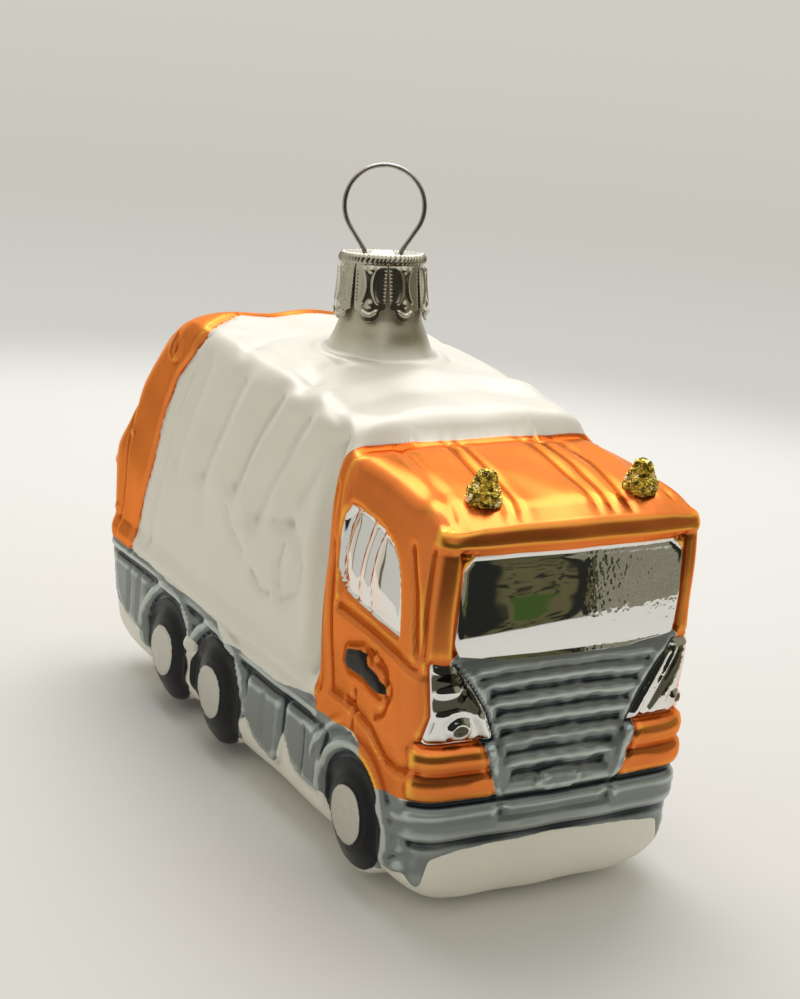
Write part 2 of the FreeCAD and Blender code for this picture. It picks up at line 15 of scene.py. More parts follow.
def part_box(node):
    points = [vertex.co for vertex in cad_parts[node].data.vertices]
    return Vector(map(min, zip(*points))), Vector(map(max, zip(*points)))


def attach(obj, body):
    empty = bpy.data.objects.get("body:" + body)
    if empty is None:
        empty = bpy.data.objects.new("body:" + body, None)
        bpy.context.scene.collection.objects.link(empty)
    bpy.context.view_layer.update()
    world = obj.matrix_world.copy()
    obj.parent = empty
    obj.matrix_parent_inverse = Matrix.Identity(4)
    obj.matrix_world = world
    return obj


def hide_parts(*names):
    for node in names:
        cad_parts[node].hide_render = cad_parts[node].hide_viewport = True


bl_info = {
    "name": "Glass Truck Ornament",
    "version": (1, 0, 0),
    "blender": (4, 5, 0),
    "location": "3D View > Sidebar > Ornament",
    "description": "Builds a lacquered blown glass truck ornament with its cap and hanging ring",
    "category": "Add Mesh",
}

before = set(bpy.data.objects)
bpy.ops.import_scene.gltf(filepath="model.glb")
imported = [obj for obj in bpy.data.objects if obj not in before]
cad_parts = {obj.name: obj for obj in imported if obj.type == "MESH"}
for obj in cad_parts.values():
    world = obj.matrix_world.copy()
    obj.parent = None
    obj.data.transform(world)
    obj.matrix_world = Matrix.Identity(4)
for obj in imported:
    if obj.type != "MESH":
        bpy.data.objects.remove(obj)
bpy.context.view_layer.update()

MM = 0.001
GLASS_LOW, GLASS_HIGH = (np.array(corner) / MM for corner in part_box("glass_body"))
FRONT = GLASS_LOW[1] - 0.55  # s is counted from just ahead of the bumper
WHEEL_FACE = GLASS_HIGH[0]  # the hubs stand this far from the middle
AXLES = (16.2, 60.8, 79.1)
AXLE_HEIGHT = 9.8
TYRE_RADIUS = 8.3
HUB_RADIUS = 4.1
NECK_S, NECK_ROOT, RIM = 57.4, 62.4, 77.4  # the neck's place, foot and rim while it is upright
NECK_Y = NECK_S + FRONT
NECK_LEAN = math.radians(6)
RING_TURN = math.radians(-31)


# ---- Settings that a user may change ----
def colour(name, description, value):
    return bpy.props.FloatVectorProperty(name=name, description=description, subtype="COLOR", size=3,
                                         min=0, max=1, default=value)


def length(name, description, value, low, high):
    return bpy.props.FloatProperty(name=name, description=description, default=value, min=low, max=high,
                                   unit="LENGTH")


class OrnamentColours(bpy.types.PropertyGroup):
    pearl: colour("Pearl lacquer", "White pearl lacquer of the load box, belly and hubs", (0.79, 0.765, 0.69))
    orange: colour("Orange lacquer", "Transparent orange lacquer where it lies evenly", (0.87, 0.238, 0.056))
    # Thin orange also stands for a painted highlight on convex edges, besides lacquer worn thin there.
    gold: colour("Thin orange", "Orange lacquer worn thin on the outer edges", (0.98, 0.47, 0.07))
    # Pooled orange also stands for painted shade in the creases, besides lacquer pooled there.
    orange_pooled_and_shaded: colour("Pooled orange", "Orange lacquer where it pools in the creases", (0.47, 0.085, 0.012))
    slate: colour("Slate enamel", "Blue-grey enamel of bumper, grille and chassis", (0.215, 0.24, 0.232))
    # Slate in the slots is near black: painted shade in slots and creases, also standing for enamel pooled
    # there.
    slate_shaded_and_pooled: colour("Slate in the slots", "Blue-grey enamel where it pools", (0.012, 0.017, 0.022))
    black: colour("Black enamel", "Black enamel of the tyres and door handles", (0.01, 0.01, 0.012))
    silver: colour("Silvering", "Bare silvered glass of the windows and headlights", (0.86, 0.86, 0.85))
    tin: colour("Tin plate", "Stamped crown cap", (0.56, 0.53, 0.42))
    wire: colour("Spring wire", "Hanging ring", (0.5, 0.49, 0.46))
    glitter: colour("Gold glitter", "Glitter on the roof beacons", (0.8, 0.6, 0.1))
    floor: colour("Floor", "Pale floor and backdrop", (0.82, 0.82, 0.81))


class OrnamentSizes(bpy.types.PropertyGroup):
    wire_thickness: length("Wire thickness", "Diameter of the spring wire", 0.00075, 0.0003, 0.002)
    glitter_grain: length("Glitter grain", "Size of one flake of glitter", 0.00055, 0.0002, 0.002)
    dimple_depth: length("Dimple depth", "Depth of the cap's embossing", 0.0002, 0, 0.001)


def tint(name, factor=1):
    """A colour from the settings, times factor, at most 1."""
    return tuple(min(1, c * factor) for c in getattr(bpy.context.scene.ornament_colours, name))


# ---- Arrays: soft corners, broken lines and distances ----
def smooth_max(a, b, r):
    """The larger of a and b; where they are closer than r, add (r - |a - b|) squared over 4 r."""
    h = np.maximum(r - np.abs(a - b), 0)
    return np.maximum(a, b) + h * h / (4 * r)


def smooth_min(a, b, r):
    """The smaller of a and b with the same soft corner."""
    return -smooth_max(-a, -b, r)


def past(t, start):
    """How far t lies past start, and 0 before it."""
    return np.maximum(t - start, 0)


def broken_line(t, points):
    """Height over t of a broken line through points."""
    at, value = np.array(points, float).T
    return np.interp(t, at, value)


def soft_line(t, points, blur):
    """Height over t of a broken line, averaged over five places within blur of t."""
    return sum(broken_line(t + k * blur, points) for k in (-1, -0.5, 0, 0.5, 1)) / 5


def ease(a, b, t):
    """0 below a and 1 above b, with the cubic 3 u squared minus 2 u cubed between them."""
    u = np.clip((t - a) / (b - a), 0, 1)
    return u * u * (3 - 2 * u)


def band(t, a, b, c, d):
    """Rises from 0 at a to 1 at b, and falls from 1 at c to 0 at d."""
    return ease(a, b, t) * ease(d, c, t)


def bell(d, width):
    """exp of minus (d over width) squared."""
    return np.exp(-(d / width) ** 2)


def to_line(a, b, points):
    """Distance in the (a, b) plane to a broken line."""
    best = np.full(np.shape(a), 1e3)
    for (a0, b0), (a1, b1) in zip(points[:-1], points[1:]):
        da, db = a1 - a0, b1 - b0
        t = np.clip(((a - a0) * da + (b - b0) * db) / (da * da + db * db), 0, 1)
        best = np.minimum(best, np.hypot(a - a0 - t * da, b - b0 - t * db))
    return best


def inside(a, b, points):
    """Signed distance to a closed outline in the (a, b) plane, positive inside. A point is inside if a ray
    from it crosses the outline an odd number of times."""
    edge = to_line(a, b, points + points[:1])
    odd = np.zeros(np.shape(a), bool)
    for (a0, b0), (a1, b1) in zip(points, points[1:] + points[:1]):
        if b0 != b1:
            odd ^= ((b0 > b) != (b1 > b)) & (a < (a1 - a0) * (b - b0) / (b1 - b0) + a0)
    return np.where(odd, edge, -edge)


def pressed(a, b, grooves):
    """Sum over grooves of width, depth and line: minus depth times the bell of the distance to the line."""
    return -sum(depth * bell(to_line(a, b, line), width) for width, depth, line in grooves)


def bump_of(distance, height, soft):
    """height inside an outline, falling to 0 over soft at its edge."""
    return height * ease(-soft, soft, distance)


def pillow(distance, height, reach):
    """A cushion of that height: 1 - exp(-distance / reach) inside, 0 outside."""
    return height * (1 - np.exp(-past(distance, 0) / reach))


def leaned(x, y, z, share=1):
    """Neck, cap and wire are worked out upright, with y from the neck's middle. They lean towards the tail
    about the neck's foot; a share under 1 leans them less."""
    x, y, z, turn = np.broadcast_arrays(x, y, z - NECK_ROOT, NECK_LEAN * share)
    return np.stack([x, NECK_Y + y * np.cos(turn) + z * np.sin(turn),
                     NECK_ROOT - y * np.sin(turn) + z * np.cos(turn)], -1)


# ---- Meshes ----
def new_mesh(name, points, faces, values=None, smooth=True):
    """A mesh object from points in millimetres. values holds one number a point for each attribute."""
    mesh = bpy.data.meshes.new(name)
    mesh.from_pydata(np.asarray(points) * MM, [], faces)
    for key, value in (values or {}).items():
        layer = mesh.attributes.new(key, "FLOAT", "POINT")
        layer.data.foreach_set("value", np.ascontiguousarray(value, np.float32))
    mesh.shade_smooth() if smooth else mesh.shade_flat()
    mesh.update()
    piece = bpy.data.objects.new(name, mesh)
    bpy.context.scene.collection.objects.link(piece)
    return piece


def grid_faces(rows, columns, closed=True):
    """Quads of a grid of points. Its last column meets its first, unless it isn't closed."""
    r, c = np.meshgrid(np.arange(rows - 1), np.arange(columns if closed else columns - 1), indexing="ij")
    here, above, nearby = r * columns, (r + 1) * columns, (c + 1) % columns
    return np.stack([here + c, here + nearby, above + nearby, above + c], -1).reshape(-1, 4).tolist()


def fan(ring, pole):
    """Triangles from a ring of point numbers to one pole."""
    return np.stack(np.broadcast_arrays(ring, np.roll(ring, -1), pole), -1).tolist()


def turned_over(faces):
    return [face[::-1] for face in faces]


def capped(grid, lift=0):
    """A tube from a grid of points, closed by a pole in the middle of each end; lift raises the last one."""
    rows, columns = grid.shape[:2]
    count = rows * columns
    poles = [grid[0].mean(0), grid[-1].mean(0) + (0, 0, lift)]
    faces = grid_faces(rows, columns) + turned_over(fan(np.arange(columns), count))
    faces += fan(np.arange(count - columns, count), count + 1)
    return np.concatenate([grid.reshape(-1, 3), poles]), faces


# ---- Materials ----
class Graph:
    """Short names for the nodes of a material or of the world."""

    def __init__(self, owner):
        owner.use_nodes = True
        self.tree = owner.node_tree
        self.tree.nodes.clear()

    def node(self, kind, inputs, **settings):
        """A node of that kind, with a socket or a value for each input that is named or numbered."""
        node = self.tree.nodes.new("ShaderNode" + kind)
        for key, value in settings.items():
            setattr(node, key, value)
        for key, value in inputs.items():
            socket = node.inputs[key]
            if isinstance(value, bpy.types.NodeSocket):
                self.tree.links.new(value, socket)
            elif isinstance(value, tuple) and len(socket.default_value) == 4:
                socket.default_value = (*value, 1)
            elif value is not None:
                socket.default_value = value
        return node

    def math(self, operation, a, b=None, c=None):
        return self.node("Math", {0: a, 1: b, 2: c}, operation=operation).outputs[0]

    def between(self, value, low, high):
        """0 at low and 1 at high, eased."""
        inputs = {0: value, 1: low, 2: high, 3: 0, 4: 1}
        return self.node("MapRange", inputs, interpolation_type="SMOOTHSTEP").outputs[0]

    def mix(self, share, a, b):
        return self.node("Mix", {0: share, 6: a, 7: b}, data_type="RGBA").outputs[2]

    def fade(self, value, low, high, a, b):
        """From a to b while the value goes from low to high."""
        return self.mix(self.between(value, low, high), a, b)

    def blend(self, share, a, b):
        """a and b are numbers."""
        return self.node("Mix", {0: share, 2: a, 3: b}, data_type="FLOAT").outputs[0]

    def value(self, name):
        return self.node("Attribute", {}, attribute_name=name).outputs["Fac"]

    def place(self):
        return self.node("TexCoord", {}).outputs["Object"]

    def parts(self, vector):
        return self.node("SeparateXYZ", {0: vector}).outputs

    def noise(self, size, detail=2, rough=0.5, place=None, unit=MM):
        """Noise with waves about size long, in millimetres unless another unit is given."""
        inputs = {"Vector": place or self.place(), "Scale": 1 / (size * unit), "Detail": detail,
                  "Roughness": rough}
        return self.node("TexNoise", inputs).outputs[0]

    def bump(self, height, depth, strength=1):
        """height times depth millimetres."""
        return self.node("Bump", {"Strength": strength, "Distance": depth * MM, "Height": height}).outputs[0]

    def principled(self, **inputs):
        """Names of sockets are given with underscores for spaces."""
        inputs = {key.replace("_", " "): value for key, value in inputs.items()}
        return self.node("BsdfPrincipled", inputs).outputs[0]

    def mix_shader(self, share, a, b):
        return self.node("MixShader", {0: share, 1: a, 2: b}).outputs[0]

    def output(self, shader, kind="OutputMaterial"):
        self.node(kind, {0: shader})

    def surface(self, **inputs):
        self.output(self.principled(**inputs))


def material(name):
    new = bpy.data.materials.new(name)
    return new, Graph(new)


# ---- Truck form: soft meeting of side views and end views ----
# Half widths and ends over height, and heights over length.
CAB_WIDTH = ((0, 21.7), (38, 21.7), (46, 21.3), (54, 20.6), (62, 19.8))
CAB_ROOF = ((0, 54.2), (3, 55.2), (8, 56), (16, 56.6), (28, 57.4), (34, 57.8))
CAB_REAR = ((10, 29), (24, 29.4), (30, 30.2), (50, 31), (55, 30.4), (58, 28.6))
BOX_WIDTH = ((14, 20.6), (24, 20.9), (44, 20.7), (54, 20.1), (62, 19.3))
BOX_ROOF = ((26, 58.3), (28, 59.2), (31, 60.2), (36, 61), (42, 61.5), (50, 61.8), (68, 62.6), (80, 63),
    (84, 63.7), (87, 63.7), (92, 62.6))
TAIL = ((2, 99), (8, 102.6), (12, 104.4), (20.5, 106.5), (25, 107.6), (30, 108.3), (34, 108.7),
    (36.8, 107.9), (41.3, 104), (45.5, 101.2), (49.3, 99.3), (52.9, 96.6), (57, 93), (61, 89.6), (64, 87))
HULL_WIDTH = 21.5
CHIN_RADIUS = 7


def meet(first, *others):
    """Soft meeting of half spaces: the largest of their distances. Each one after the first is followed by
    the radius of its corner."""
    for distance, radius in zip(others[::2], others[1::2]):
        first = smooth_max(first, distance, radius)
    return first


def cab_form(x, s, z):
    side = np.abs(x) - soft_line(z, CAB_WIDTH, 2)
    front = 1.5 + 0.0018 * x * x + 0.12 * past(z, 50) - s
    rear = s - soft_line(z, CAB_REAR, 1.5)
    roof = z - soft_line(s, CAB_ROOF, 1.5) + 0.0012 * x * x
    return meet(side, front, 5, rear, 2, roof, 4.2, 12 - z, 2)


def box_form(x, s, z):
    side = np.abs(x) - soft_line(z, BOX_WIDTH, 2)
    front = 28.4 + 0.12 * (z - 55) - s
    tail = (s - soft_line(z, TAIL, 0.7)) * 0.8
    mound = 2.6 * bell(np.hypot(x, s - NECK_S), 10.5)
    roof = z - soft_line(s, BOX_ROOF, 3) - mound + 0.0014 * x * x
    return meet(side, front, 2.4, tail, 3.2, roof, 4, 13 - z, 2)


def hull_form(x, s, z):
    side = np.abs(x) - HULL_WIDTH
    chin_curve = CHIN_RADIUS - np.sqrt(past(CHIN_RADIUS ** 2, past(CHIN_RADIUS, z) ** 2))
    chin = 1.1 + 0.0016 * x * x + chin_curve - s
    tail = s - soft_line(z, TAIL, 0.7)
    bottom = 0.034 * past(np.abs(x), 9) ** 2 - z
    rise = (0.3 * (s - 90) - z) * 0.95
    return meet(side, chin, 5, tail, 3, smooth_max(bottom, rise, 4), 3.4, z - 24, 2)


def wheel_form(x, s, z):
    """Three wheels a side, each a low dome: a flat hub, and a tyre that slopes back into the hull."""
    from_axle = np.min([np.hypot(s - at, z - AXLE_HEIGHT) for at in AXLES], axis=0)
    sloping = np.abs(x) - WHEEL_FACE + 0.15 + 0.52 * past(from_axle, HUB_RADIUS)
    return smooth_max(from_axle - TYRE_RADIUS, sloping, 0.8)


def truck_form(x, s, z):
    """Negative inside: cab, load box, hull and wheels, each a soft meeting of half spaces, softly joined."""
    body = smooth_min(smooth_min(cab_form(x, s, z), box_form(x, s, z), 1.4), hull_form(x, s, z), 1)
    return smooth_min(body, wheel_form(x, s, z), 0.4)


def slope(form, x, s, z, step=0.05):
    """Unit direction in which the form grows fastest, by differences over a short step."""
    g = np.stack([form(x + step, s, z) - form(x - step, s, z),
                  form(x, s + step, z) - form(x, s - step, z),
                  form(x, s, z + step) - form(x, s, z - step)], -1)
    return g / np.linalg.norm(g, axis=-1, keepdims=True)


def cast(form, start, direction, reach=30, halvings=26):
    """Where each ray leaves the form: the distance is halved in again and again."""
    low = np.zeros(start.shape[:-1])
    high = np.full(start.shape[:-1], reach)
    for _ in range(halvings):
        middle = (low + high) / 2
        within = form(*np.moveaxis(start + direction * middle[..., None], -1, 0)) < 0
        low = np.where(within, middle, low)
        high = np.where(within, high, middle)
    return start + direction * ((low + high) / 2)[..., None]


# ---- Moulded relief: heights in mm over the plain form, as functions of place ----
# Outlines and lines run through (s, z) on the flanks, through (x, z) or (q, z) on the front, where q runs
# round the corner of the cab, and through (x, s) on the roof. Grooves are width, depth and line; a ridge
# has a depth below 0.
WINDOW = ((25.2, 50.4), (26.2, 48.4), (26.7, 44.9), (26.3, 41.9), (25, 39.8), (22.9, 38.9), (20.6, 38.5),
    (17.2, 38.2), (14, 37.9), (9.5, 37.7), (8.7, 37.7), (9.4, 41.1), (10.5, 44.7), (11.5, 46.8),
    (13.3, 48.5), (16.6, 49.7), (19.9, 50.2), (23.2, 50.5))
WINDOW_POSTS = (  # thin seams between the window's panes
    ((19.9, 50.4), (20.4, 47.5), (20.8, 44.3), (20.9, 41.5), (20.3, 38.2)),
    ((16.6, 50), (17.7, 47.2), (18, 44.1), (17.7, 41.5), (16.7, 38)),
    ((24.4, 50.4), (25.3, 47.2), (25.5, 43.9), (24.9, 40.9), (23.4, 38.9)),
)
HANDLE = ((21.4, 31.5), (17.7, 32.7), (16.3, 32.4), (15.5, 31.3), (13.5, 31), (10.3, 29.8), (10.3, 29.1),
    (12.3, 28.6), (14.5, 28.8), (16.8, 29.3), (20.7, 29.1), (21.7, 29.6))
HANDLE_SLOT = ((14.6, 32.3), (12.6, 33), (10.8, 32.2), (10.6, 31.2), (11.6, 30.9), (13.6, 31.5))
CAB_GROOVES = (
    (0.55, 0.5, ((24.8, 36.4), (17, 36), (9, 35.4), (3.6, 34.4))),
    (0.5, 0.45, ((8.4, 49.6), (6.4, 44.5), (4.8, 37.5), (3.6, 33.5), (3.1, 26), (3, 21.3))),
    (0.55, 0.4, ((28.4, 44.2), (27.1, 36.3), (25, 24.2), (18.6, 24.5))),
    (0.45, 0.4, ((16.6, 32.6), (14.2, 33.2), (11.6, 31.6), (10.4, 28), (11, 26), (13, 25))),
    (0.45, 0.3, ((18.5, 26.6), (18.5, 20.9))),
    (0.55, 0.5, ((20.6, 24.4), (17.7, 24), (13.5, 23.3), (11.2, 21.8), (9, 20.6), (6.4, 20.6), (3, 21.3))),
    (0.6, 0.3, ((29.2, 52), (29.2, 31), (28.2, 23))),
    (0.6, -0.3, ((27.2, 57), (26.6, 50), (25.8, 40), (25.2, 37.4))),
)
BOX_FOLDS = (
    (2.1, 0.72, ((30.4, 58.6), (34.7, 55.8), (38.2, 51.3), (42.1, 45.4), (43.8, 42.6))),
    (2, 0.77, ((42.3, 57.4), (45.2, 54.1), (48.4, 48.8), (52.2, 43.7), (54.4, 39.6))),
    (1.8, 0.77, ((51.4, 58.4), (55, 53.6), (58.9, 47.6), (62.2, 42))),
    (1.8, 0.68, ((63.2, 58), (66.2, 53), (70, 46.9), (73.4, 40.6))),
    (1.6, 0.38, ((74.6, 58.2), (77.6, 51.5), (80.8, 45), (82.6, 40))),
    (1.6, -0.34, ((38.4, 58.2), (42.4, 52.6), (46.2, 46.8), (48.8, 42.6))),
    (1.6, -0.34, ((47.6, 58.4), (52.2, 52.4), (56, 46.6), (58.6, 41.2))),
    (1.6, -0.34, ((58.6, 58.4), (62.8, 51.6), (66.6, 45.4), (68.6, 41))),
    (1.4, 0.51, ((48.3, 41.2), (43, 41.6), (40, 40.6), (38.8, 37), (40, 32.6), (44, 30.6))),
    (1, 0.47, ((44.6, 38.6), (45.6, 35.4), (45.2, 32.2))),
    (0.9, 0.42, ((53.6, 31.4), (50.5, 29.8), (47.6, 30))),
    (0.9, 0.3, ((57.4, 33.6), (61, 35.4), (63.6, 38.4))),
    (1.6, -0.34, ((33.6, 52), (35.4, 44), (35.8, 36), (34.6, 27))),
    (1.7, 0.51, ((31.4, 57), (32.4, 52), (32.8, 44), (32.4, 34), (31.6, 24.5))),
)
GATE_SEAM = ((77.6, 62.2), (80.7, 57.8), (84.9, 53.4), (87.8, 48), (91.5, 38.1), (95.5, 27.8), (96.6, 20.6))
BOX_GROOVES = (
    (0.5, 0.45, GATE_SEAM),
    (0.6, 0.3, ((79.8, 55), (83.4, 48), (84.9, 42.9), (87.6, 36.2), (90.1, 27.9), (91, 22.6))),
    (0.6, 0.3, ((99.6, 46), (101.6, 38), (102.6, 30), (103.4, 22))),
    (0.8, -0.3, ((29, 22.3), (60, 21.6), (96, 22.2))),
)
PIVOT = (86.5, 57.6)
RIVETS = ((99.9, 40.5), (105.1, 26.1))
CHASSIS_GROOVES = (
    (0.7, -0.45, ((28.6, 19.4), (42, 18.6), (57, 18.9), (62, 20.2), (80, 20.4), (104, 20.2))),
    (0.5, 0.4, ((28.6, 18), (42, 17.2), (57, 17.5), (62, 18.8), (80, 19), (104, 18.8))),
    (0.45, 0.4, ((91.9, 18), (92.2, 10))),
    (0.45, 0.4, ((96, 18), (96.4, 10.4))),
)
# Tanks, mudflap and skirt: height, softness, place, width and depth of the groove along the edge, outline
PLATES = (
    (0.55, 0.5, -0.9, 0.5, 0.35, ((25.6, 17.4), (37.4, 17.2), (37.6, 12.6), (34.5, 9.2), (31.7, 8.4),
        (27.1, 8.4), (25.4, 9.4))),
    (0.55, 0.5, -0.9, 0.5, 0.35, ((38.9, 17), (49.6, 16.6), (50, 10.9), (46.8, 7.8), (41.2, 6.8),
        (39.3, 8.4))),
    (0.45, 0.6, 1.9, 0.4, 0.3, ((9.6, 15), (4, 15.4), (0, 14), (0.2, 9), (3.2, 7.4), (6, 6.4), (8.8, 7.2))),
    (0.4, 0.5, 0, 1, 0, ((88.6, 18.4), (103, 18.4), (101.4, 12.4), (98.6, 9.8), (92, 9.2), (88.9, 10.6))),
)
WINDSHIELD = ((-30, 49.9), (15.6, 50), (17, 48.6), (17.2, 44.6), (17.3, 38.6), (16.6, 36.9), (9, 35.9),
    (-30, 35.6))
GRILLE = ((-30, 36.6), (9, 36.9), (16.4, 37.6), (17.9, 36.4), (14.9, 30.5), (12.1, 25), (10.7, 20.4),
    (9.4, 16.8), (-30, 16.2))
SLOTS = (  # height at the middle, half width, half height, depth
    (34.3, 14.6, 0.55, 0.385),
    (31.8, 12.8, 0.75, 0.525),
    (29, 11.6, 0.75, 0.525),
    (26.1, 10.7, 0.8, 0.525),
    (23.2, 9.7, 0.8, 0.525),
    (20.3, 8.6, 0.85, 0.56),
)
HEADLIGHT = ((21.6, 36), (17.8, 35.7), (15.4, 33), (12.6, 29), (11, 25.2), (21.8, 25), (20.6, 28.8))
# The upper lens of each lamp, painted dark as a reflection; the right one has a bare oval in it: place and
# half sizes
DARK_RIGHT = ((21.2, 34.7), (17.8, 35), (14.6, 31.8), (13, 29), (14.6, 29.2), (17, 30.2), (20.4, 29.6))
DARK_LEFT = ((20, 34.8), (18.8, 34.8), (16.4, 30.4), (14.2, 26.6), (15, 26), (17.6, 29.4), (19.4, 32.2))
GLEAM = (18.6, 32.3, 2.2, 0.85)
LENSES = ((-16.4, 27.1, 1.5), (19.6, 27.3, 1.15))  # side and place, height, radius
CORNER_BLOCK = ((23.4, 24.6), (10.7, 24.6), (9.5, 20.8), (9.2, 17.4), (23.4, 17.4))
CORNER_BARS = ((23.1, 1.85), (19.2, 1.95))  # height and half height
PILLAR_GROOVES = (
    (1.6, -0.35, ((19.9, 50.6), (20.1, 44), (19.9, 37.6))),
    (0.42, 0.4, ((18, 50.4), (18.2, 43), (18, 37.4))),
    (0.45, 0.3, ((22.4, 50.6), (22.6, 43), (22.4, 36.6))),
)
BUMPER_GROOVES = ((0.5, -0.3, ((0, 15.2), (7, 15.4), (9, 16.6))),)
ROOF_GROOVES = (
    (1.0125, 0.256, ((-12.6, 28.5), (-15, 16), (-17.4, 4.6))),
    (0.567, 0.272, ((-5.4, 28.5), (-7.4, 18), (-10.4, 4.4))),
    (0.567, 0.272, ((-3.2, 28.5), (-5.4, 17), (-8.4, 4.2))),
    (0.54, 0.224, ((7.2, 28.5), (5.6, 18), (3.2, 4.2))),
    (0.567, 0.272, ((9.6, 28.5), (8, 17), (5.4, 4.2))),
    (0.567, 0.272, ((12.8, 28.5), (11.2, 17), (8.2, 4.2))),
    (0.81, 0.24, ((18.4, 28), (17.6, 17), (16, 5))),
)
ROOF_FOLDS = (
    (2.2, 0.55, ((-17.6, 47), (-9, 54), (-7, 58))),
    (2.2, 0.4, ((17.6, 47), (10, 53))),
    (1.4, 0.45, ((-15.5, 48), (-15.8, 60), (-15.2, 74))),
)
ROOF_BOWS = ((33.6, -0.22, 1.6), (40.6, 0.45, 2.4), (46, -0.32, 1.8), (71, 0.35, 1.8))  # s, depth, width


def cab_flank(s, z):
    """Door creases, the window's cushioned panes, handle and slot."""
    pane = inside(s, z, WINDOW)
    seam = np.min([to_line(s, z, post) for post in WINDOW_POSTS], axis=0)
    handle = inside(s, z, HANDLE)
    h = pressed(s, z, CAB_GROOVES) + bump_of(pane, -0.5, 0.35) + pillow(np.minimum(pane, seam), 0.4, 1.3)
    h = h - 0.075 * past(z, 41.5) * ease(-0.2, 0.5, pane)
    h = h + bump_of(handle, 0.4, 0.45) - 0.25 * bell(handle + 0.7, 0.5)
    return (h + bump_of(inside(s, z, HANDLE_SLOT), -0.4, 0.5)) * ease(31.4, 30.2, s)


def chassis_flank(s, z):
    """Wheel arches and hubs, tanks with straps, a rail under the load box and a mudflap."""
    h = pressed(s, z, CHASSIS_GROOVES)
    for at in AXLES:
        r = np.hypot(s - at, z - AXLE_HEIGHT)
        turn = np.arctan2(z - AXLE_HEIGHT, s - at)
        lip = r + 0.8 if at == AXLES[0] else r
        h = h + ease(5, 9, z) * (0.95 * bell(lip - 10.2, 0.85) - 0.6 * bell(lip - 9, 0.4))
        h = h - 0.3 * bell(r - HUB_RADIUS - 0.3, 0.35) - 0.15 * bell(r, 3.2)
        h = h + 0.3 * bell(r - 1.2, 0.5) * (0.6 + 0.4 * np.sin(3 * turn + at))
    front_arch = np.hypot(s - AXLES[0], z - AXLE_HEIGHT)
    h = h + 0.35 * bell(front_arch - 12.4, 0.5) * ease(12, 15, z) * ease(8, 12, s)
    for height, soft, at, width, depth, outline in PLATES:
        d = inside(s, z, outline)
        h = h + bump_of(d, height, soft) - depth * bell(d - at, width)
    for strap in (31.4, 44.2):
        h = h - 0.35 * bell(s - strap, 0.45) * band(z, 8, 10, 15.5, 17)
    return h


def gate_seam(z):
    """How far back the seam of the tailgate lies at height z."""
    return broken_line(-z, [(-height, s) for s, height in GATE_SEAM])


def box_flank(s, z):
    """Slanting folds of the load box, a hollow behind the cab, the tailgate with its hinge and rivets."""
    folds = 1.2 * pressed(s, z, BOX_FOLDS) * ease(29.5, 32.5, s) * ease(21, 24.5, z)
    h = folds + pressed(s, z, BOX_GROOVES)
    h = h + 0.3 * ease(-0.4, 0.4, s - gate_seam(z)) * ease(60, 76, s) * ease(20, 22, z)
    ring = np.hypot(s - PIVOT[0], z - PIVOT[1])
    h = h + 0.55 * bell(ring - 1.5, 0.45) - 0.3 * bell(ring, 0.7)
    for at, height in RIVETS:
        h = h + 0.4 * bell(np.hypot(s - at, z - height), 0.55)
    return h - 1.25 * bell(s - 32.7, 2) * band(z, 22, 27, 54, 60)


def round_corner(x, s):
    """Distance from the middle that goes on round the corner of the cab."""
    return np.abs(x) + 0.6 * past(s, 1)


def painted_reflection_lens(x, q, z):
    """Signed distance into the part of a headlight's lens painted dark as a reflection; the right lamp's has
    a bare oval gleam in it.
    """
    q0, z0, long, short = GLEAM
    gleam = (np.hypot((q - q0) / long, (z - z0 + 0.15 * (q - q0)) / short) - 1) * short
    return np.where(x < 0, np.minimum(inside(q, z, DARK_RIGHT), gleam), inside(q, z, DARK_LEFT))


def from_lens(x, q, rise, at):
    """Distance from the middle of a round lens on one side of the cab, stretched round the corner."""
    return np.where(x * at > 0, np.hypot((q - abs(at)) / 1.25, rise), 9)


def round_bar(z, middle, half):
    """Half a circle over height, as a share of its radius."""
    return np.sqrt(past(1, ((z - middle) / half) ** 2))


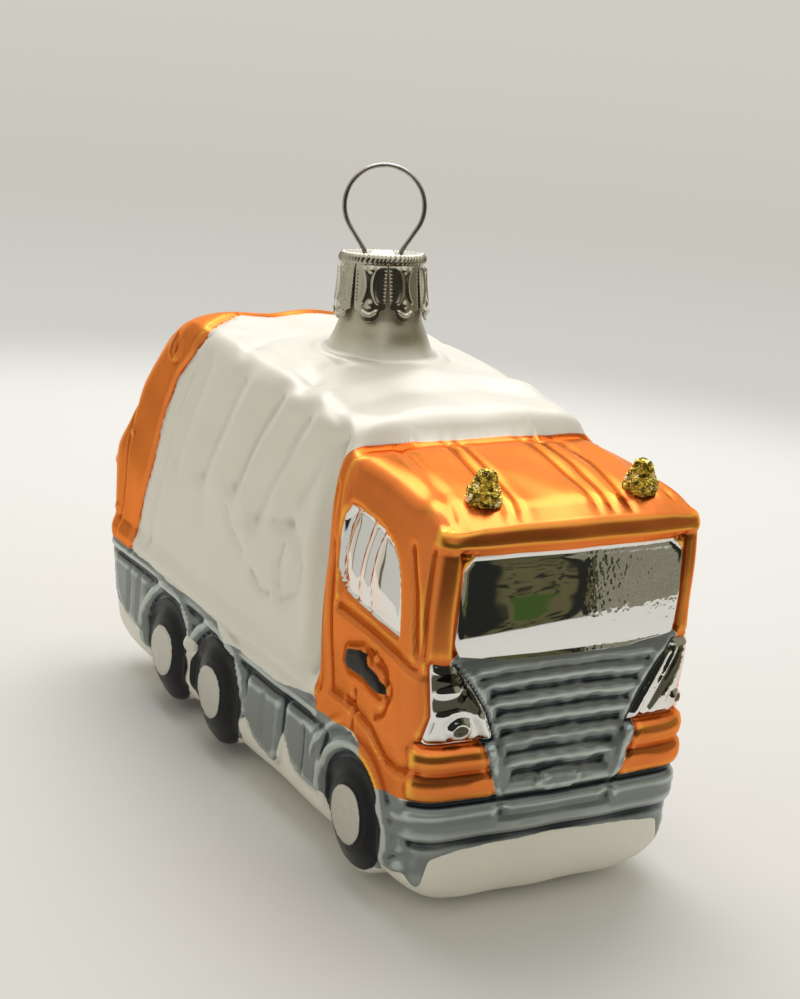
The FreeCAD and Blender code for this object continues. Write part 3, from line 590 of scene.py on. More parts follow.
def front_face(x, s, z):
    """Windshield, visor, grille, headlights, corner blocks and bumper."""
    ax = np.abs(x)
    q = round_corner(x, s)
    glass = inside(ax, z, WINDSHIELD)
    under = past(42 + 0.1 * x, z)
    turned = np.minimum(under, 2)
    lean = (0.09 * past(z, 38) + 0.011 * past(z, 44) ** 2 + 0.15 * past(z + 0.03 * x, 48.1) ** 2
            + 0.03 * turned ** 2 + 0.12 * (under - turned) - 0.48 - 0.012 * x)
    h = -bump_of(glass, 0.12, 0.9) - lean * ease(-0.3, 0.5, glass)
    h = h + pressed(q, z, PILLAR_GROOVES) + pressed(ax, z, BUMPER_GROOVES)
    h = h + (0.4 + 0.13 * np.clip(z - 50, 0, 5.5)) * band(z, 50.4, 51.4, 55.2, 57.6)
    h = h - 0.5 * bell(z - 50.5, 0.36) * ease(19.5, 18, q)
    grille = inside(ax, z, GRILLE)
    h = h + bump_of(grille, 0.35, 0.4) * ease(35.8, 34.6, z) - 0.45 * bell(grille, 0.4) * ease(36, 33, z)
    for middle, half_width, half_height, depth in SLOTS:
        up = z - middle + 0.0035 * x * x - 0.004 * ax - 0.06 * np.sin(0.9 * x + middle)
        worn = half_height * (0.85 + 0.2 * np.sin(0.75 * x + 2.3 * middle) + 0.08 * np.sin(2.1 * x + middle))
        h = h - bump_of(np.minimum((half_width - 1 - ax) * 0.6, worn - np.abs(up)), depth, 0.55)
        h = h + 0.14 * bell(up - half_height - 0.65, 0.5) * ease(half_width + 0.5, half_width - 1.5, ax)
    boss = 1 - np.hypot(x / 3.6, (z - 18.4) / 1.6)
    h = h + 0.55 * ease(-0.05, 0.25, boss) - 0.55 * ease(0.35, 0.6, boss)
    lamp = inside(q, z, HEADLIGHT)
    lens = painted_reflection_lens(x, q, z)
    h = h + bump_of(lamp, 0.25, 0.4) + pillow(lamp, 0.4, 1.2) - 0.45 * bell(lamp, 0.35)
    h = h + bump_of(lens, -0.35, 0.35) + pillow(lens, 0.45, 0.8)
    for at, height, size in LENSES:
        away = from_lens(x, q, z - height, at)
        h = h + 0.4 * ease(size, size * 0.7, away) - 0.35 * ease(size * 0.7, size * 0.2, away)
        h = h - 0.3 * bell(away - size - 0.25, 0.25)
    block = ease(-0.3, 0.5, inside(q, z, CORNER_BLOCK))
    wrap = ease(26, 23, q)
    for middle, half in CORNER_BARS:
        h = h + 0.85 * round_bar(z, middle, half) * block * wrap
    h = h - 0.35 * bell(z - 25, 0.35) * ease(10.6, 11.6, q) * wrap
    h = h - 0.6 * bell(z - 16.7, 0.45) + 0.45 * band(z, 13.9, 14.5, 15.7, 16.5) * ease(8.6, 9.8, q)
    return h + 0.45 * round_bar(z, 12.9, 1.3) - 0.35 * bell(z - 11.3, 0.5)


def roof_line(ax):
    """Where the orange of the tailgate begins on the roof."""
    return broken_line(ax, ((0, 83.2), (11, 83.1), (15, 80.6), (18, 78.6), (21, 77.6)))


def roof_skin(x, s):
    """Grooves slanting along the cab roof; hollows, ridges and the tailgate's roll on the load box."""
    h = pressed(x, s, ROOF_GROOVES)
    for _, _, line in ROOF_GROOVES:
        h = h + 0.06 * bell(to_line(x, s, line) - 1.3, 0.8)
    h = h * band(s, 2.6, 5, 27, 29) + pressed(x, s, ROOF_FOLDS)
    h = h + 0.35 * bell(np.hypot((x + 18.6) / 1.3, s - 8), 2.2)
    for at, depth, width in ROOF_BOWS:
        h = h - depth * bell(s - at + 0.013 * (x - 1) ** 2, width)
    seam = s - roof_line(np.abs(x))
    h = h - 0.35 * bell(seam, 0.6) * ease(60, 70, s) + 0.3 * ease(-0.3, 0.6, seam)
    return h + 0.18 * np.sin(x * 0.42 + 0.8) * ease(80, 83, s)


def tail_face(x, z):
    """Tailgate from behind: a lip across, two upright ribs, round lamps and a bare sunk panel."""
    ax = np.abs(x)
    h = 0.45 * bell(z - 33.6, 0.8) - 0.4 * bell(z - 31.9, 0.55)
    for rib in (7.2, 15.6):
        h = h + 0.4 * bell(ax - rib, 0.7) * band(z, 33, 35, 54, 57)
    h = h - bump_of(np.min([13 - ax, z - 23.6, 30.2 - z], axis=0), 0.4, 0.4)
    for groove in (40.6, 47):
        h = h - 0.3 * bell(z - groove, 0.5) * ease(15, 14, ax)
    for height in (24.6, 28.6):
        h = h + bump_of(1.9 - np.hypot(ax - 17.4, z - height), 0.5, 0.4)
    return h - 0.45 * bell(z - 20.8, 0.5) + 0.35 * band(z, 10, 12, 18.6, 19.8)


def ripple(x, s, z):
    """Slow waves of blown glass: three crossed sines, a twentieth of a millimetre high."""
    return 0.05 * (np.sin(0.31 * s + 0.5 * x + 0.3 * z) + np.sin(0.43 * z - 0.27 * s + 1.3)
                   + np.sin(0.55 * x - 0.38 * z + 0.19 * s + 2.1))


def relief(x, s, z, normal):
    """Every face's moulding, shared out by which way the plain form faces."""
    nx, ns, nz = np.moveaxis(normal, -1, 0)
    front = ease(0.28, 0.6, -ns) * ease(12, 8, s) * ease(0.75, 0.45, nz)
    flank = ease(0.45, 0.8, np.abs(nx)) * (1 - 0.8 * front)
    roof = ease(0.45, 0.8, nz) * ease(40, 50, z)
    tail = ease(0.35, 0.7, ns) * ease(85, 92, s)
    h = flank * (cab_flank(s, z) + chassis_flank(s, z) * ease(22.5, 20.5, z) + box_flank(s, z))
    h = h + front * front_face(x, s, z) + roof * roof_skin(x, s) + tail * tail_face(x, z)
    mirror = front * ease(-0.3, 0.8, inside(np.abs(x), z, WINDSHIELD))
    return (h + ripple(x, s, z) * (1 - 0.92 * mirror)) * ease(0.1, 2.5, z)


# ---- Lacquer zones: distances in mm into each zone, positive where that lacquer lies ----
CAB_FOOT = ((0, 17.6), (6, 16.9), (10.4, 16.4), (13.4, 18.1), (15.7, 20.2), (17.6, 20.8), (20.4, 20.7),
    (25.1, 20), (28, 19.6), (30, 19.6))
CAB_BACK = ((15, 28.6), (21, 29), (24, 29.9), (30, 30.6), (43, 31.1), (53, 31), (56, 29.6), (58, 28.5),
    (62, 28.3))
SLATE_TOP = ((0, 17.6), (6, 16.9), (10.4, 16.4), (13.4, 18.1), (15.7, 20.2), (20.4, 20.7), (28, 20),
    (29.5, 21.6), (35, 20.3), (42, 19.1), (57, 19.3), (61, 21), (96, 21.1), (109, 21.3))
SLATE_FOOT = ((0, 11.2), (0.9, 11), (2.2, 8.4), (3.2, 7), (6, 6.2), (8.8, 7), (9.6, 4.6), (22.6, 4.6),
    (25.2, 9.2), (27.1, 8.2), (31.7, 8.2), (34.5, 9), (37.9, 13), (38.8, 12.4), (39.3, 8), (41.1, 6.4),
    (46.8, 7.4), (50.1, 10.3), (52.4, 6), (53, 4.6), (66.4, 4.6), (68.8, 15.2), (71, 15.8), (71.8, 6),
    (72.4, 4.6), (85.8, 4.6), (87.6, 6.6), (91.5, 8.7), (95.9, 9.2), (99.8, 10.2), (103, 11), (109, 11.4))
FAR_OFF = -5  # the distance given where a lacquer can't lie


def only(where, distance):
    return np.where(where, distance, FAR_OFF)


def zones(x, s, z, normal):
    """Signed distances into each lacquer. The steeper a boundary's slope, the more its height is scaled."""
    ax = np.abs(x)
    q = round_corner(x, s)
    nx, ns, nz = np.moveaxis(normal, -1, 0)
    facing = ease(0.35, 0.55, -ns) * ease(12, 8, s)
    ahead = facing > 0.02
    flank = np.abs(nx) > 0.4
    cab = smooth_min(broken_line(z, CAB_BACK) - s, z - broken_line(s, CAB_FOOT), 0.5)
    seam = gate_seam(z)
    edge = np.where(z > 59, roof_line(ax) + (seam - 78.6) * ease(14, 19, ax) * ease(61, 59, z), seam)
    gate = np.minimum((s - edge) * 0.9, z - 21)
    grille = only(facing > 0.5, inside(ax, z, GRILLE))
    wrapped = 5 * ease(18.2, 19.6, ax) * ease(4, 2.5, s)
    slate = np.minimum(broken_line(s, SLATE_TOP) - z, z - broken_line(s, SLATE_FOOT) + wrapped)
    tyre = hub = only(False, x)
    for at in AXLES:
        r = np.hypot(s - at, z - AXLE_HEIGHT)
        reach = TYRE_RADIUS - 0.6 if at == AXLES[0] else TYRE_RADIUS + 0.1
        tyre = np.maximum(tyre, only((ax > 20.8) | (z < 6), reach - r))
        hub = np.maximum(hub, only(ax > 20, HUB_RADIUS - r))
    panes = np.min([to_line(s, z, post) - 0.16 for post in WINDOW_POSTS] + [inside(s, z, WINDOW)], axis=0)
    front_glass = np.maximum(inside(ax, z, WINDSHIELD), inside(q, z, HEADLIGHT))
    # Where the lamps' lenses are painted dark as the reflection of a dark room; the round lenses too.
    dark = painted_reflection_lens(x, q, z)
    for at, height, size in LENSES:
        dark = np.maximum(dark, size * 0.62 - from_lens(x, q, (z - height) * 1.2, at))
    return {
        "orange": np.maximum(np.minimum(cab, -grille), gate),
        "slate": np.maximum(np.minimum(slate, (0.8 + nz) * 6), grille),
        "tyre": only(ax > 15, tyre),
        "hub": hub,
        "handle": only(flank & (facing < 0.5), inside(s, z, HANDLE)),
        "silver": np.maximum(only(flank & (s < 32) & (s > 6), panes), only(ahead, front_glass)),
        "dark": only(ahead, dark),
    }


# ---- The lattice: rays from a core inside the truck find the plain form, and the relief lifts it ----
CORE_HALF, CORE_FRONT, CORE_REAR = 16.5, 5, 98
KEEL_HALF = 13
FLARE_RADIUS, NECK_RADIUS, BORE_RADIUS = 8.5, 6.1, 5.2
FLARE_TOP = 68.4
BORE_FLOOR = 59.2
BORE = ((BORE_RADIUS, 70.5), (6.05, 67), (7.1, 64), (8, 61.4), (8, BORE_FLOOR))  # radius, height
SEAM_TURN = math.radians(-153)  # where the mould's seam runs up the neck
QUARTER = math.pi / 2


def plan_columns():
    """Start (x, s) and outward direction of each column, once round the truck from the middle of its tail:
    straight runs with a fan of directions at each corner. The second half mirrors the first."""
    def run(count):
        return (np.arange(count) + 0.5) / count

    def columns(x, s, across, along):
        return np.stack(np.broadcast_arrays(x, s, across, along), -1)

    def corner(s, first, count):
        turn = np.radians(first + 90 * run(count))
        return columns(CORE_HALF, s, np.sin(turn), np.cos(turn))

    flank = np.append(CORE_REAR + (32 - CORE_REAR) * run(94), 32 + (CORE_FRONT - 32) * run(66))
    half = np.concatenate([
        columns(CORE_HALF * run(28), CORE_REAR, 0, 1),
        corner(CORE_REAR, 0, 24),
        columns(CORE_HALF, flank, 1, 0),
        corner(CORE_FRONT, 90, 20),
        columns(CORE_HALF * (1 - run(42)), CORE_FRONT, 0, -1),
    ])
    return np.concatenate([half, half[::-1] * (-1, 1, -1, 1)])


def ray_rows(columns):
    """Starts and directions of all rays, row by row: belly, lower fan, wall, upper fan and roof. Rows of the
    belly, fans and roof start a little outside the core, so that no two columns meet."""
    x, s, nx, ns = columns.T
    low = 3 + 0.3 * past(s, 86)
    top = np.interp(s, (28, 31.5, 80, 90, 98), (51, 56, 56, 51.5, 43.5))
    keel = np.clip(s, 22, 80)
    ring = np.arctan2(x + 6 * nx, s + 6 * ns - NECK_S)
    narrow = KEEL_HALF / CORE_HALF
    rays = []

    def add(px, ps, pz, dx, ds, dz):
        rays.append(np.stack(np.broadcast_arrays(px, ps, pz, dx, ds, dz), -1))

    for t in np.linspace(0.08, 1, 10)[:-1]:
        add((x * narrow + 1.5 * nx) * t, keel + (s + 1.5 * ns - keel) * t, low, 0, 0, -1)
    for t in np.linspace(0, 1, 11)[:-1]:
        tip = QUARTER * (1 - t) ** 1.4
        out = 1.5 * (1 - t)
        add(x * narrow + out * nx, s + out * ns, low, nx * math.cos(tip), ns * math.cos(tip), -math.sin(tip))
    for t in np.linspace(0, 1, 92):
        z = low + (top - low) * t
        add(x * (narrow + (1 - narrow) * ease(0, 9, z - low)), s, z, nx, ns, 0)
    for t in np.linspace(0, 1, 12)[1:-1]:
        tip = QUARTER * t
        out = 2 * t
        add(x + out * nx, s + out * ns, top, nx * math.cos(tip), ns * math.cos(tip), math.sin(tip))
    from_x, from_s = x + 2 * nx, s + 2 * ns
    for t in np.linspace(0, 1, 35):
        add(from_x + (FLARE_RADIUS * np.sin(ring) - from_x) * t,
            from_s + (NECK_S + FLARE_RADIUS * np.cos(ring) - from_s) * t, top + (56.5 - top) * t, 0, 0, 1)
    rays = np.array(rays)
    return rays[..., :3], rays[..., 3:], ring


def neck_rows(ring, roof):
    """Rings of the neck: up the flare from its foot on the roof, to the rounded rim, and down the bore to its
    floor. The flare swells on both sides of the mould's seam, and its foot stands on the roof in a crease."""
    beside = np.abs((ring - SEAM_TURN + QUARTER) % math.pi - QUARTER)
    rows = []
    for t in np.linspace(0, 1, 12)[1:]:
        spread = (1 - t) ** 1.25
        hollow = 0.55 * bell(beside - 0.62, 0.42) * bell(t - 0.3, 0.28)
        swell = (FLARE_RADIUS - 0.45 - NECK_RADIUS + 0.16 * bell(beside, 0.12)) * spread
        r = NECK_RADIUS + swell - hollow
        crease = 0.2 * bell(t - 0.05, 0.06) * (1 - bell(beside, 0.2))
        rows.append((r, roof + (FLARE_TOP - roof) * t ** 0.9 - crease, t))
    edge = (NECK_RADIUS - BORE_RADIUS) / 2
    rows += [(NECK_RADIUS, z, 1) for z in (69, 72, 75, RIM - edge)]
    rows += [(BORE_RADIUS + edge * (1 + math.cos(turn)), RIM - edge + edge * math.sin(turn), 1)
             for turn in (math.pi / 4, QUARTER, 3 * math.pi / 4, math.pi)]
    rows += [(r, z, 1) for r, z in BORE]
    return np.array([leaned(r * np.sin(ring), r * np.cos(ring), z, share) for r, z, share in rows])


def grid_normals(points):
    """Outward normals of a lattice whose rows climb and whose columns run clockwise from above: the cross
    product of the two differences."""
    n = np.cross(np.gradient(points, axis=0), np.roll(points, -1, 1) - np.roll(points, 1, 1))
    return n / np.maximum(np.linalg.norm(n, axis=-1, keepdims=True), 1e-9)


def bend(points, normals, reach=2):
    """How convex the surface is, per mm: the second difference along each lattice direction, measured
    along the normal and divided by the step squared; the two are added."""
    def second(before, after):
        step = np.sum((after - before) ** 2, -1) / 4
        return -np.sum((before + after - 2 * points) * normals, -1) / np.maximum(step, 0.04)

    rows = np.arange(len(points))
    across = second(np.roll(points, reach, 1), np.roll(points, -reach, 1))
    return across + second(points[past(rows, reach)], points[np.minimum(rows + reach, len(points) - 1)])


def glass_lattice():
    """The points of the whole glass body, its faces, and the value of each attribute."""
    starts, directions, ring = ray_rows(plan_columns())
    plain = cast(truck_form, starts, directions)
    x, s, z = np.moveaxis(plain, -1, 0)
    normal = slope(truck_form, x, s, z)
    from_neck = np.hypot(x, s - NECK_S) - FLARE_RADIUS
    height = relief(x, s, z, normal) * np.where(z > 55, ease(0, 2, from_neck), 1)
    height = height + 0.3 * bell(from_neck - 0.9, 0.7) * (z > 55)
    raised = np.clip(plain + normal * height[..., None] + (0, FRONT, 0), GLASS_LOW, GLASS_HIGH)
    neck = neck_rows(ring, raised[-1, :, 2])
    points = np.concatenate([raised, neck])
    rows, count = points.shape[:2]
    blank = np.zeros(neck.shape[:2])
    values = {key: np.append(np.concatenate([value, blank + FAR_OFF]), FAR_OFF)
              for key, value in zones(x, s, z, normal).items()}
    values["relief"] = np.append(np.concatenate([height, blank]), 0)
    values["bend"] = np.append(bend(points, grid_normals(points)), 0)
    half = np.arange(count // 2 - 1)
    belly = np.stack([half, half + 1, count - 2 - half, count - 1 - half], -1).tolist()
    pole = rows * count
    faces = turned_over(grid_faces(rows, count)) + belly
    faces += turned_over(fan(np.arange(pole - count, pole), pole))
    return np.concatenate([points.reshape(-1, 3), [leaned(0, 0, BORE_FLOOR)]]), faces, values


def lacquered_glass():
    """Silvered glass under hand-laid lacquers. Each lacquer lies where its own distance is positive; the
    transparent orange turns gold on convex edges, as lacquer worn thin and as a painted highlight, and deep
    rust in creases, as pooled lacquer and as painted shade. Pearl and slate are darker in hollows and slots
    as painted shade, slate is paler on convex edges as worn paint and a painted highlight, and the lamps'
    silver carries a painted dark reflection."""
    new, g = material("Lacquered glass")
    wobble = g.math("MULTIPLY_ADD", g.noise(3), 0.5, -0.25)
    curve = g.value("bend")
    cloud = g.noise(9, 3)
    across, _, height = g.parts(g.place())

    def laid(name, soft, waver):
        return g.between(g.math("MULTIPLY_ADD", wobble, waver, g.value(name)), -soft, soft)

    # Pearl darkened where the surface is concave: painted shade in hollows and creases.
    pearl = g.fade(curve, -0.15, -0.9, tint("pearl"), tint("pearl", 0.72))
    pearl = g.mix(g.math("MULTIPLY", g.between(cloud, 0.35, 0.75), 0.35), pearl, tint("pearl", 1.08))
    bare = g.between(height, 62.6 * MM, 67 * MM)  # the neck's silver, dulled by tarnish
    pearl = g.mix(bare, pearl, g.fade(cloud, 0.35, 0.6, (0.36, 0.33, 0.24), (0.58, 0.54, 0.42)))
    orange = g.fade(cloud, 0.3, 0.75, tint("orange"), tint("orange", 0.86))
    # Where the surface is convex the orange turns gold: partly lacquer worn thin on the edges, partly a
    # painted highlight.
    orange = g.fade(curve, 0.26, 1.3, orange, tint("gold"))
    # In concave creases the orange turns deep rust: partly lacquer pooled there, partly painted shade.
    orange = g.fade(curve, -0.06, -0.6, orange, tint("orange_pooled_and_shaded"))
    # Slate turns near black where the relief sinks into slots and grooves: painted shade, also standing for
    # enamel pooled there.
    shaded_and_pooled = g.between(g.math("MULTIPLY_ADD", g.noise(0.9, 3), 0.12, g.value("relief")), 0.1, -0.35)
    slate = g.mix(shaded_and_pooled, tint("slate"), tint("slate_shaded_and_pooled"))
    # Slate paler on convex edges: partly worn pale edges, partly a painted highlight.
    slate = g.fade(curve, 0.15, 0.9, slate, tint("slate", 2.3))
    # Slate near black where the surface is concave: painted shade in the creases.
    slate = g.fade(curve, -0.2, -1, slate, tint("slate_shaded_and_pooled"))
    layers = {  # softness and waver of the edge, colour, metal, roughness
        "orange": (0.1, 1, orange, 0.88, 0.25),
        "slate": (0.1, 1, slate, 0.45, 0.2),
        "silver": (0.06, 0.4, tint("silver"), 1, 0.035),
        # Painted reflection: a dark metal coat over the lamps' silver stands for the dark room mirrored in
        # them.
        "dark": (0.08, 0.4, (0.1, 0.095, 0.07), 1, 0.12),
        "tyre": (0.1, 1, tint("black"), 0, 0.28),
        "hub": (0.08, 0.6, tint("pearl", 0.72), 0.45, 0.34),
        "handle": (0.08, 0.8, tint("black"), 0, 0.25),
    }
    base, metal, rough = pearl, g.math("MULTIPLY_ADD", bare, 0.6, 0.15), 0.42
    share = {}
    for name, (soft, waver, colour_here, metal_here, rough_here) in layers.items():
        share[name] = laid(name, soft, waver)
        base = g.mix(share[name], base, colour_here)
        metal = g.blend(share[name], metal, metal_here)
        rough = g.blend(share[name], rough, rough_here)
    crinkled = g.math("MULTIPLY", share["silver"], g.between(across, 1 * MM, 3.5 * MM))
    scratched = g.math("MULTIPLY", g.noise(0.8), g.math("MULTIPLY", share["hub"], 1.5))
    rugged = g.math("ADD", g.math("MULTIPLY", g.noise(0.9, 1), crinkled), scratched)
    swell = g.math("MULTIPLY", g.noise(3.5, 0), g.blend(share["silver"], 0.3, 0.35))
    black = g.math("MAXIMUM", share["tyre"], share["handle"])
    g.surface(Base_Color=base, Metallic=metal, Roughness=rough,
              Normal=g.bump(g.math("ADD", swell, rugged), 0.05),
              Specular_IOR_Level=g.blend(black, 0.32, 0.16),
              Specular_Tint=g.mix(share["orange"], (1, 1, 1), (1, 0.66, 0.4)))
    return new


class ORNAMENT_OT_glass(bpy.types.Operator):
    """Build the blown glass truck with its neck"""
    bl_idname = "ornament.glass"
    bl_label = "Glass truck"

    def execute(self, context):
        points, faces, values = glass_lattice()
        piece = new_mesh("glass_truck", points, faces, values)
        piece.data.materials.append(lacquered_glass())
        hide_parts("glass_body")
        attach(piece, "glass")
        return {"FINISHED"}


# ---- Roof beacons ----
def gold_glitter():
    """Flakes of gold glitter: each cell of a Voronoi pattern has its own tilt and tint."""
    new, g = material("Gold glitter")
    grain = bpy.context.scene.ornament_sizes.glitter_grain
    cells = g.node("TexVoronoi", {"Vector": g.place(), "Scale": 1 / grain}, feature="F1")
    red, green, blue = g.node("SeparateColor", {0: cells.outputs["Color"]}).outputs
    base = g.fade(red, 0.15, 0.55, tint("glitter", 0.22), tint("glitter"))
    base = g.fade(green, 0.88, 0.97, base, (1, 0.88, 0.55))
    height = g.math("ADD", blue, g.math("MULTIPLY", cells.outputs["Distance"], 0.6))
    g.surface(Base_Color=base, Metallic=0.9, Roughness=g.blend(green, 0.15, 0.45),
              Normal=g.bump(height, 0.35))
    return new


def beacon_points(side):
    """A lumpy cone: radius falls with height, with flakes thrown out at random over it."""
    low, high = (np.array(corner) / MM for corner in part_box("beacon_right" if side < 0 else "beacon_left"))
    centre = (low + high) / 2
    random = np.random.default_rng(7 if side < 0 else 11)
    rows, columns = 40, 64
    v = np.linspace(0, 1, rows)[:, None]
    turn = np.linspace(0, 2 * np.pi, columns, endpoint=False)
    foot = (high[0] - low[0]) / 2 - 0.12
    radius = np.interp(v, (0, 0.16, 0.34, 0.55, 0.8, 0.93, 1), (0.98, 1, 0.92, 0.72, 0.56, 0.42, 0.1))
    lumps = 1 + 0.07 * np.sin(3 * turn + 4 * v + side) + 0.05 * np.sin(5 * turn - 9 * v)
    r = foot * radius * lumps + random.uniform(-0.2, 0.1, (rows, columns)) * (0.4 + 0.6 * (v < 0.9))
    z = low[2] + 0.15 + (high[2] - low[2] - 0.95) * v + random.uniform(-0.07, 0.07, (rows, columns))
    r = np.minimum(r, foot + 0.1)
    return np.stack([centre[0] + r * np.cos(turn), centre[1] + r * np.sin(turn), z], -1)


class ORNAMENT_OT_beacons(bpy.types.Operator):
    """Build the two glittered roof beacons"""
    bl_idname = "ornament.beacons"
    bl_label = "Glitter beacons"

    def execute(self, context):
        glitter = gold_glitter()
        for name, side in (("beacon_right", -1), ("beacon_left", 1)):
            piece = new_mesh(name + "_glitter", *capped(beacon_points(side), lift=0.05), smooth=False)
            piece.data.materials.append(glitter)
            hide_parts(name)
            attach(piece, "glass")
        return {"FINISHED"}


# ---- Crown cap ----
PETALS = 8
PETAL_COLUMNS = 36
PETAL_TURN = math.radians(1)
CAP_TOP = RIM + 0.3
CAP_SKIRT = 9.5
SHOULDER = 0.62
KNURL = 1.2  # height of the knurled shoulder
SLIT_TOP, SLIT_FOOT = 0.14, 0.6  # the slits between petals widen downwards
TONGUE = 8.35
PLATE = 0.22


def embossing(u, v):
    """Relief of one petal in mm, u across from its middle and v down from the top: two lines bowed back to
    back, a boss between them above and below, a crescent on the tongue and a beaded edge."""
    lines = bell(np.abs(u) - 0.46 - 0.105 * (v - 4.2) ** 2, 0.24) * band(v, 1.5, 2, 6.7, 7.1)
    bosses = 1.5 * bell(np.hypot(u, v - 2.05), 0.42) + 1.5 * bell(np.hypot(u, (v - 7) / 1.25), 0.4)
    crescent = 1.4 * bell(np.hypot(u, v - 7.35) - 1.15, 0.2) * ease(7.7, 8.1, v)
    beads = 0.7 * bell(np.abs(u) - 2.25, 0.2) * (0.5 + 0.5 * np.sin(v * 12)) * band(v, 1.9, 2.4, 6.6, 7.2)
    return lines + bosses + crescent + beads


def cap_radius(v):
    """Radius of the skirt: a cone that spreads a little more towards its foot."""
    return 6.42 + 0.76 * (v / CAP_SKIRT) ** 1.25


def petal_half_width(v):
    """Straight sides with the slit widening between petals, corners cut at a slant, and a round tongue."""
    slit = np.where(v < KNURL, 0, np.interp(v, (KNURL, 7.6), (SLIT_TOP, SLIT_FOOT)))
    corners = np.interp(v, (7.35, 8.05, CAP_SKIRT), (3.2, 1.55, 1.45))
    down = np.clip((v - TONGUE) / (CAP_SKIRT - TONGUE), 0, 1)
    return np.minimum(cap_radius(v) * np.pi / PETALS - slit / 2, corners) * np.sqrt(1 - 0.985 * down ** 2.4)


def cap_sheet():
    """One petal's strip after another, each from the middle of the top over the knurled shoulder and down to
    the tip of its tongue. Across a strip u runs from -1 to 1. A last point closes the middle of the top."""
    depth = bpy.context.scene.ornament_sizes.dimple_depth / MM
    top_radius = cap_radius(0) - SHOULDER
    path = [(top_radius * t, 0) for t in np.linspace(0, 1, 22)[1:]]
    path += [(top_radius + SHOULDER * math.sin(a), SHOULDER - SHOULDER * math.cos(a))
             for a in np.radians(np.linspace(12, 90, 9))]
    path += [(cap_radius(v), v) for v in np.linspace(SHOULDER, CAP_SKIRT, 76)[1:]]
    radius, drop = (np.array(column)[:, None] for column in zip(*path))
    u = np.linspace(-1, 1, PETAL_COLUMNS + 1)
    half_width = petal_half_width(drop)
    half_turn = np.where(drop < SHOULDER, np.pi / PETALS, half_width / radius)
    points, faces, middle = [], [], []
    for petal in range(PETALS):
        turn = PETAL_TURN + 2 * np.pi / PETALS * petal + u * half_turn
        ropes = np.abs(np.sin(turn * 30 + 2.2 * drop + 0.7 * np.sin(9 * turn)))
        teeth = (0.18 - 0.28 * ropes) * bell(drop - 0.45, 0.6) * ease(-0.9, -0.3, radius - top_radius)
        press = depth * embossing(half_width * u, drop) * ease(1.2, 1.5, drop)
        r = radius + teeth + press - 0.1 * bell(drop - KNURL - 0.12, 0.22)
        along, across = r * np.cos(turn - RING_TURN), r * np.sin(turn - RING_TURN)
        boss = np.minimum(1.75 - np.abs(along), 1.6 - np.abs(across))
        lift = 0.55 * ease(-0.15, 0.35, boss) * (drop < 0.05)
        lift = lift + 0.32 * bell(radius - top_radius - 0.05, 0.42) * (drop < 0.5) * (1 - 0.5 * ropes)
        start = petal * r.size
        points.append(leaned(r * np.cos(turn), r * np.sin(turn), CAP_TOP - drop + lift).reshape(-1, 3))
        faces += (np.array(grid_faces(*r.shape, closed=False)) + start).tolist()
        middle += range(start, start + PETAL_COLUMNS)
    points.append([leaned(0, 0, CAP_TOP + 0.55)])
    return np.concatenate(points), faces + fan(middle, PETALS * r.size)


def drawn_metal(name, key, shade, cloud_size, roughness, grain, depth, strength):
    """Bright metal: clouds of a darker shade and of two roughnesses, and grain as small dents."""
    new, g = material(name)
    cloud = g.noise(cloud_size, 3)
    g.surface(Base_Color=g.fade(cloud, 0.3, 0.8, tint(key), tint(key, shade)), Metallic=1,
              Roughness=g.blend(cloud, *roughness), Normal=g.bump(g.noise(grain), depth, strength))
    return new


class ORNAMENT_OT_cap(bpy.types.Operator):
    """Build the stamped crown cap with its embossed petals"""
    bl_idname = "ornament.cap"
    bl_label = "Crown cap"

    def execute(self, context):
        piece = new_mesh("crown_cap_stamping", *cap_sheet())
        shell = bmesh.new()
        shell.from_mesh(piece.data)
        bmesh.ops.remove_doubles(shell, verts=shell.verts, dist=0.00001)
        bmesh.ops.recalc_face_normals(shell, faces=shell.faces)
        shell.to_mesh(piece.data)
        shell.free()
        plate = piece.modifiers.new("Plate", "SOLIDIFY")
        plate.thickness = PLATE * MM
        plate.offset = -1
        tin = drawn_metal("Stamped tin", "tin", 0.82, 2, (0.16, 0.28), 0.5, 0.02, 0.6)
        piece.data.materials.append(tin)
        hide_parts("crown_cap")
        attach(piece, "cap")
        return {"FINISHED"}


# ---- Wire hanger ----
FOOT_HALF_SPREAD = 2.65
RING_RADIUS = 5.9
RING_DROP = 6.7  # from the middle of the ring down to its feet
KNEE = CAP_TOP + 0.3  # where the ring's straight runs meet the sprung legs
LEG_TIP = (4.475, RIM - 17)


def wire_path():
    """The hanger's middle line in its own plane, as (along, height): up one sprung leg, in a straight run to
    the ring, round it and down the other leg. Corners are rounded by averaging nearby points."""
    touch = (math.atan2(RING_DROP, FOOT_HALF_SPREAD)
             - math.acos(RING_RADIUS / math.hypot(RING_DROP, FOOT_HALF_SPREAD)))
    leg = [LEG_TIP, (FOOT_HALF_SPREAD, RIM - 1.4), (FOOT_HALF_SPREAD, KNEE)]
    ring = [(RING_RADIUS * math.cos(a), KNEE + RING_DROP + RING_RADIUS * math.sin(a))
            for a in np.linspace(-touch, math.pi + touch, 121)]
    line = np.array(leg + ring + [(-a, h) for a, h in leg[::-1]])
    gone = np.append(0, np.cumsum(np.hypot(*np.diff(line, axis=0).T)))
    at = np.linspace(0, gone[-1], 420)
    even = np.stack([np.interp(at, gone, line[:, k]) for k in (0, 1)], -1)
    for _ in range(5):
        even[1:-1] = (even[:-2] + 2 * even[1:-1] + even[2:]) / 4
    return even


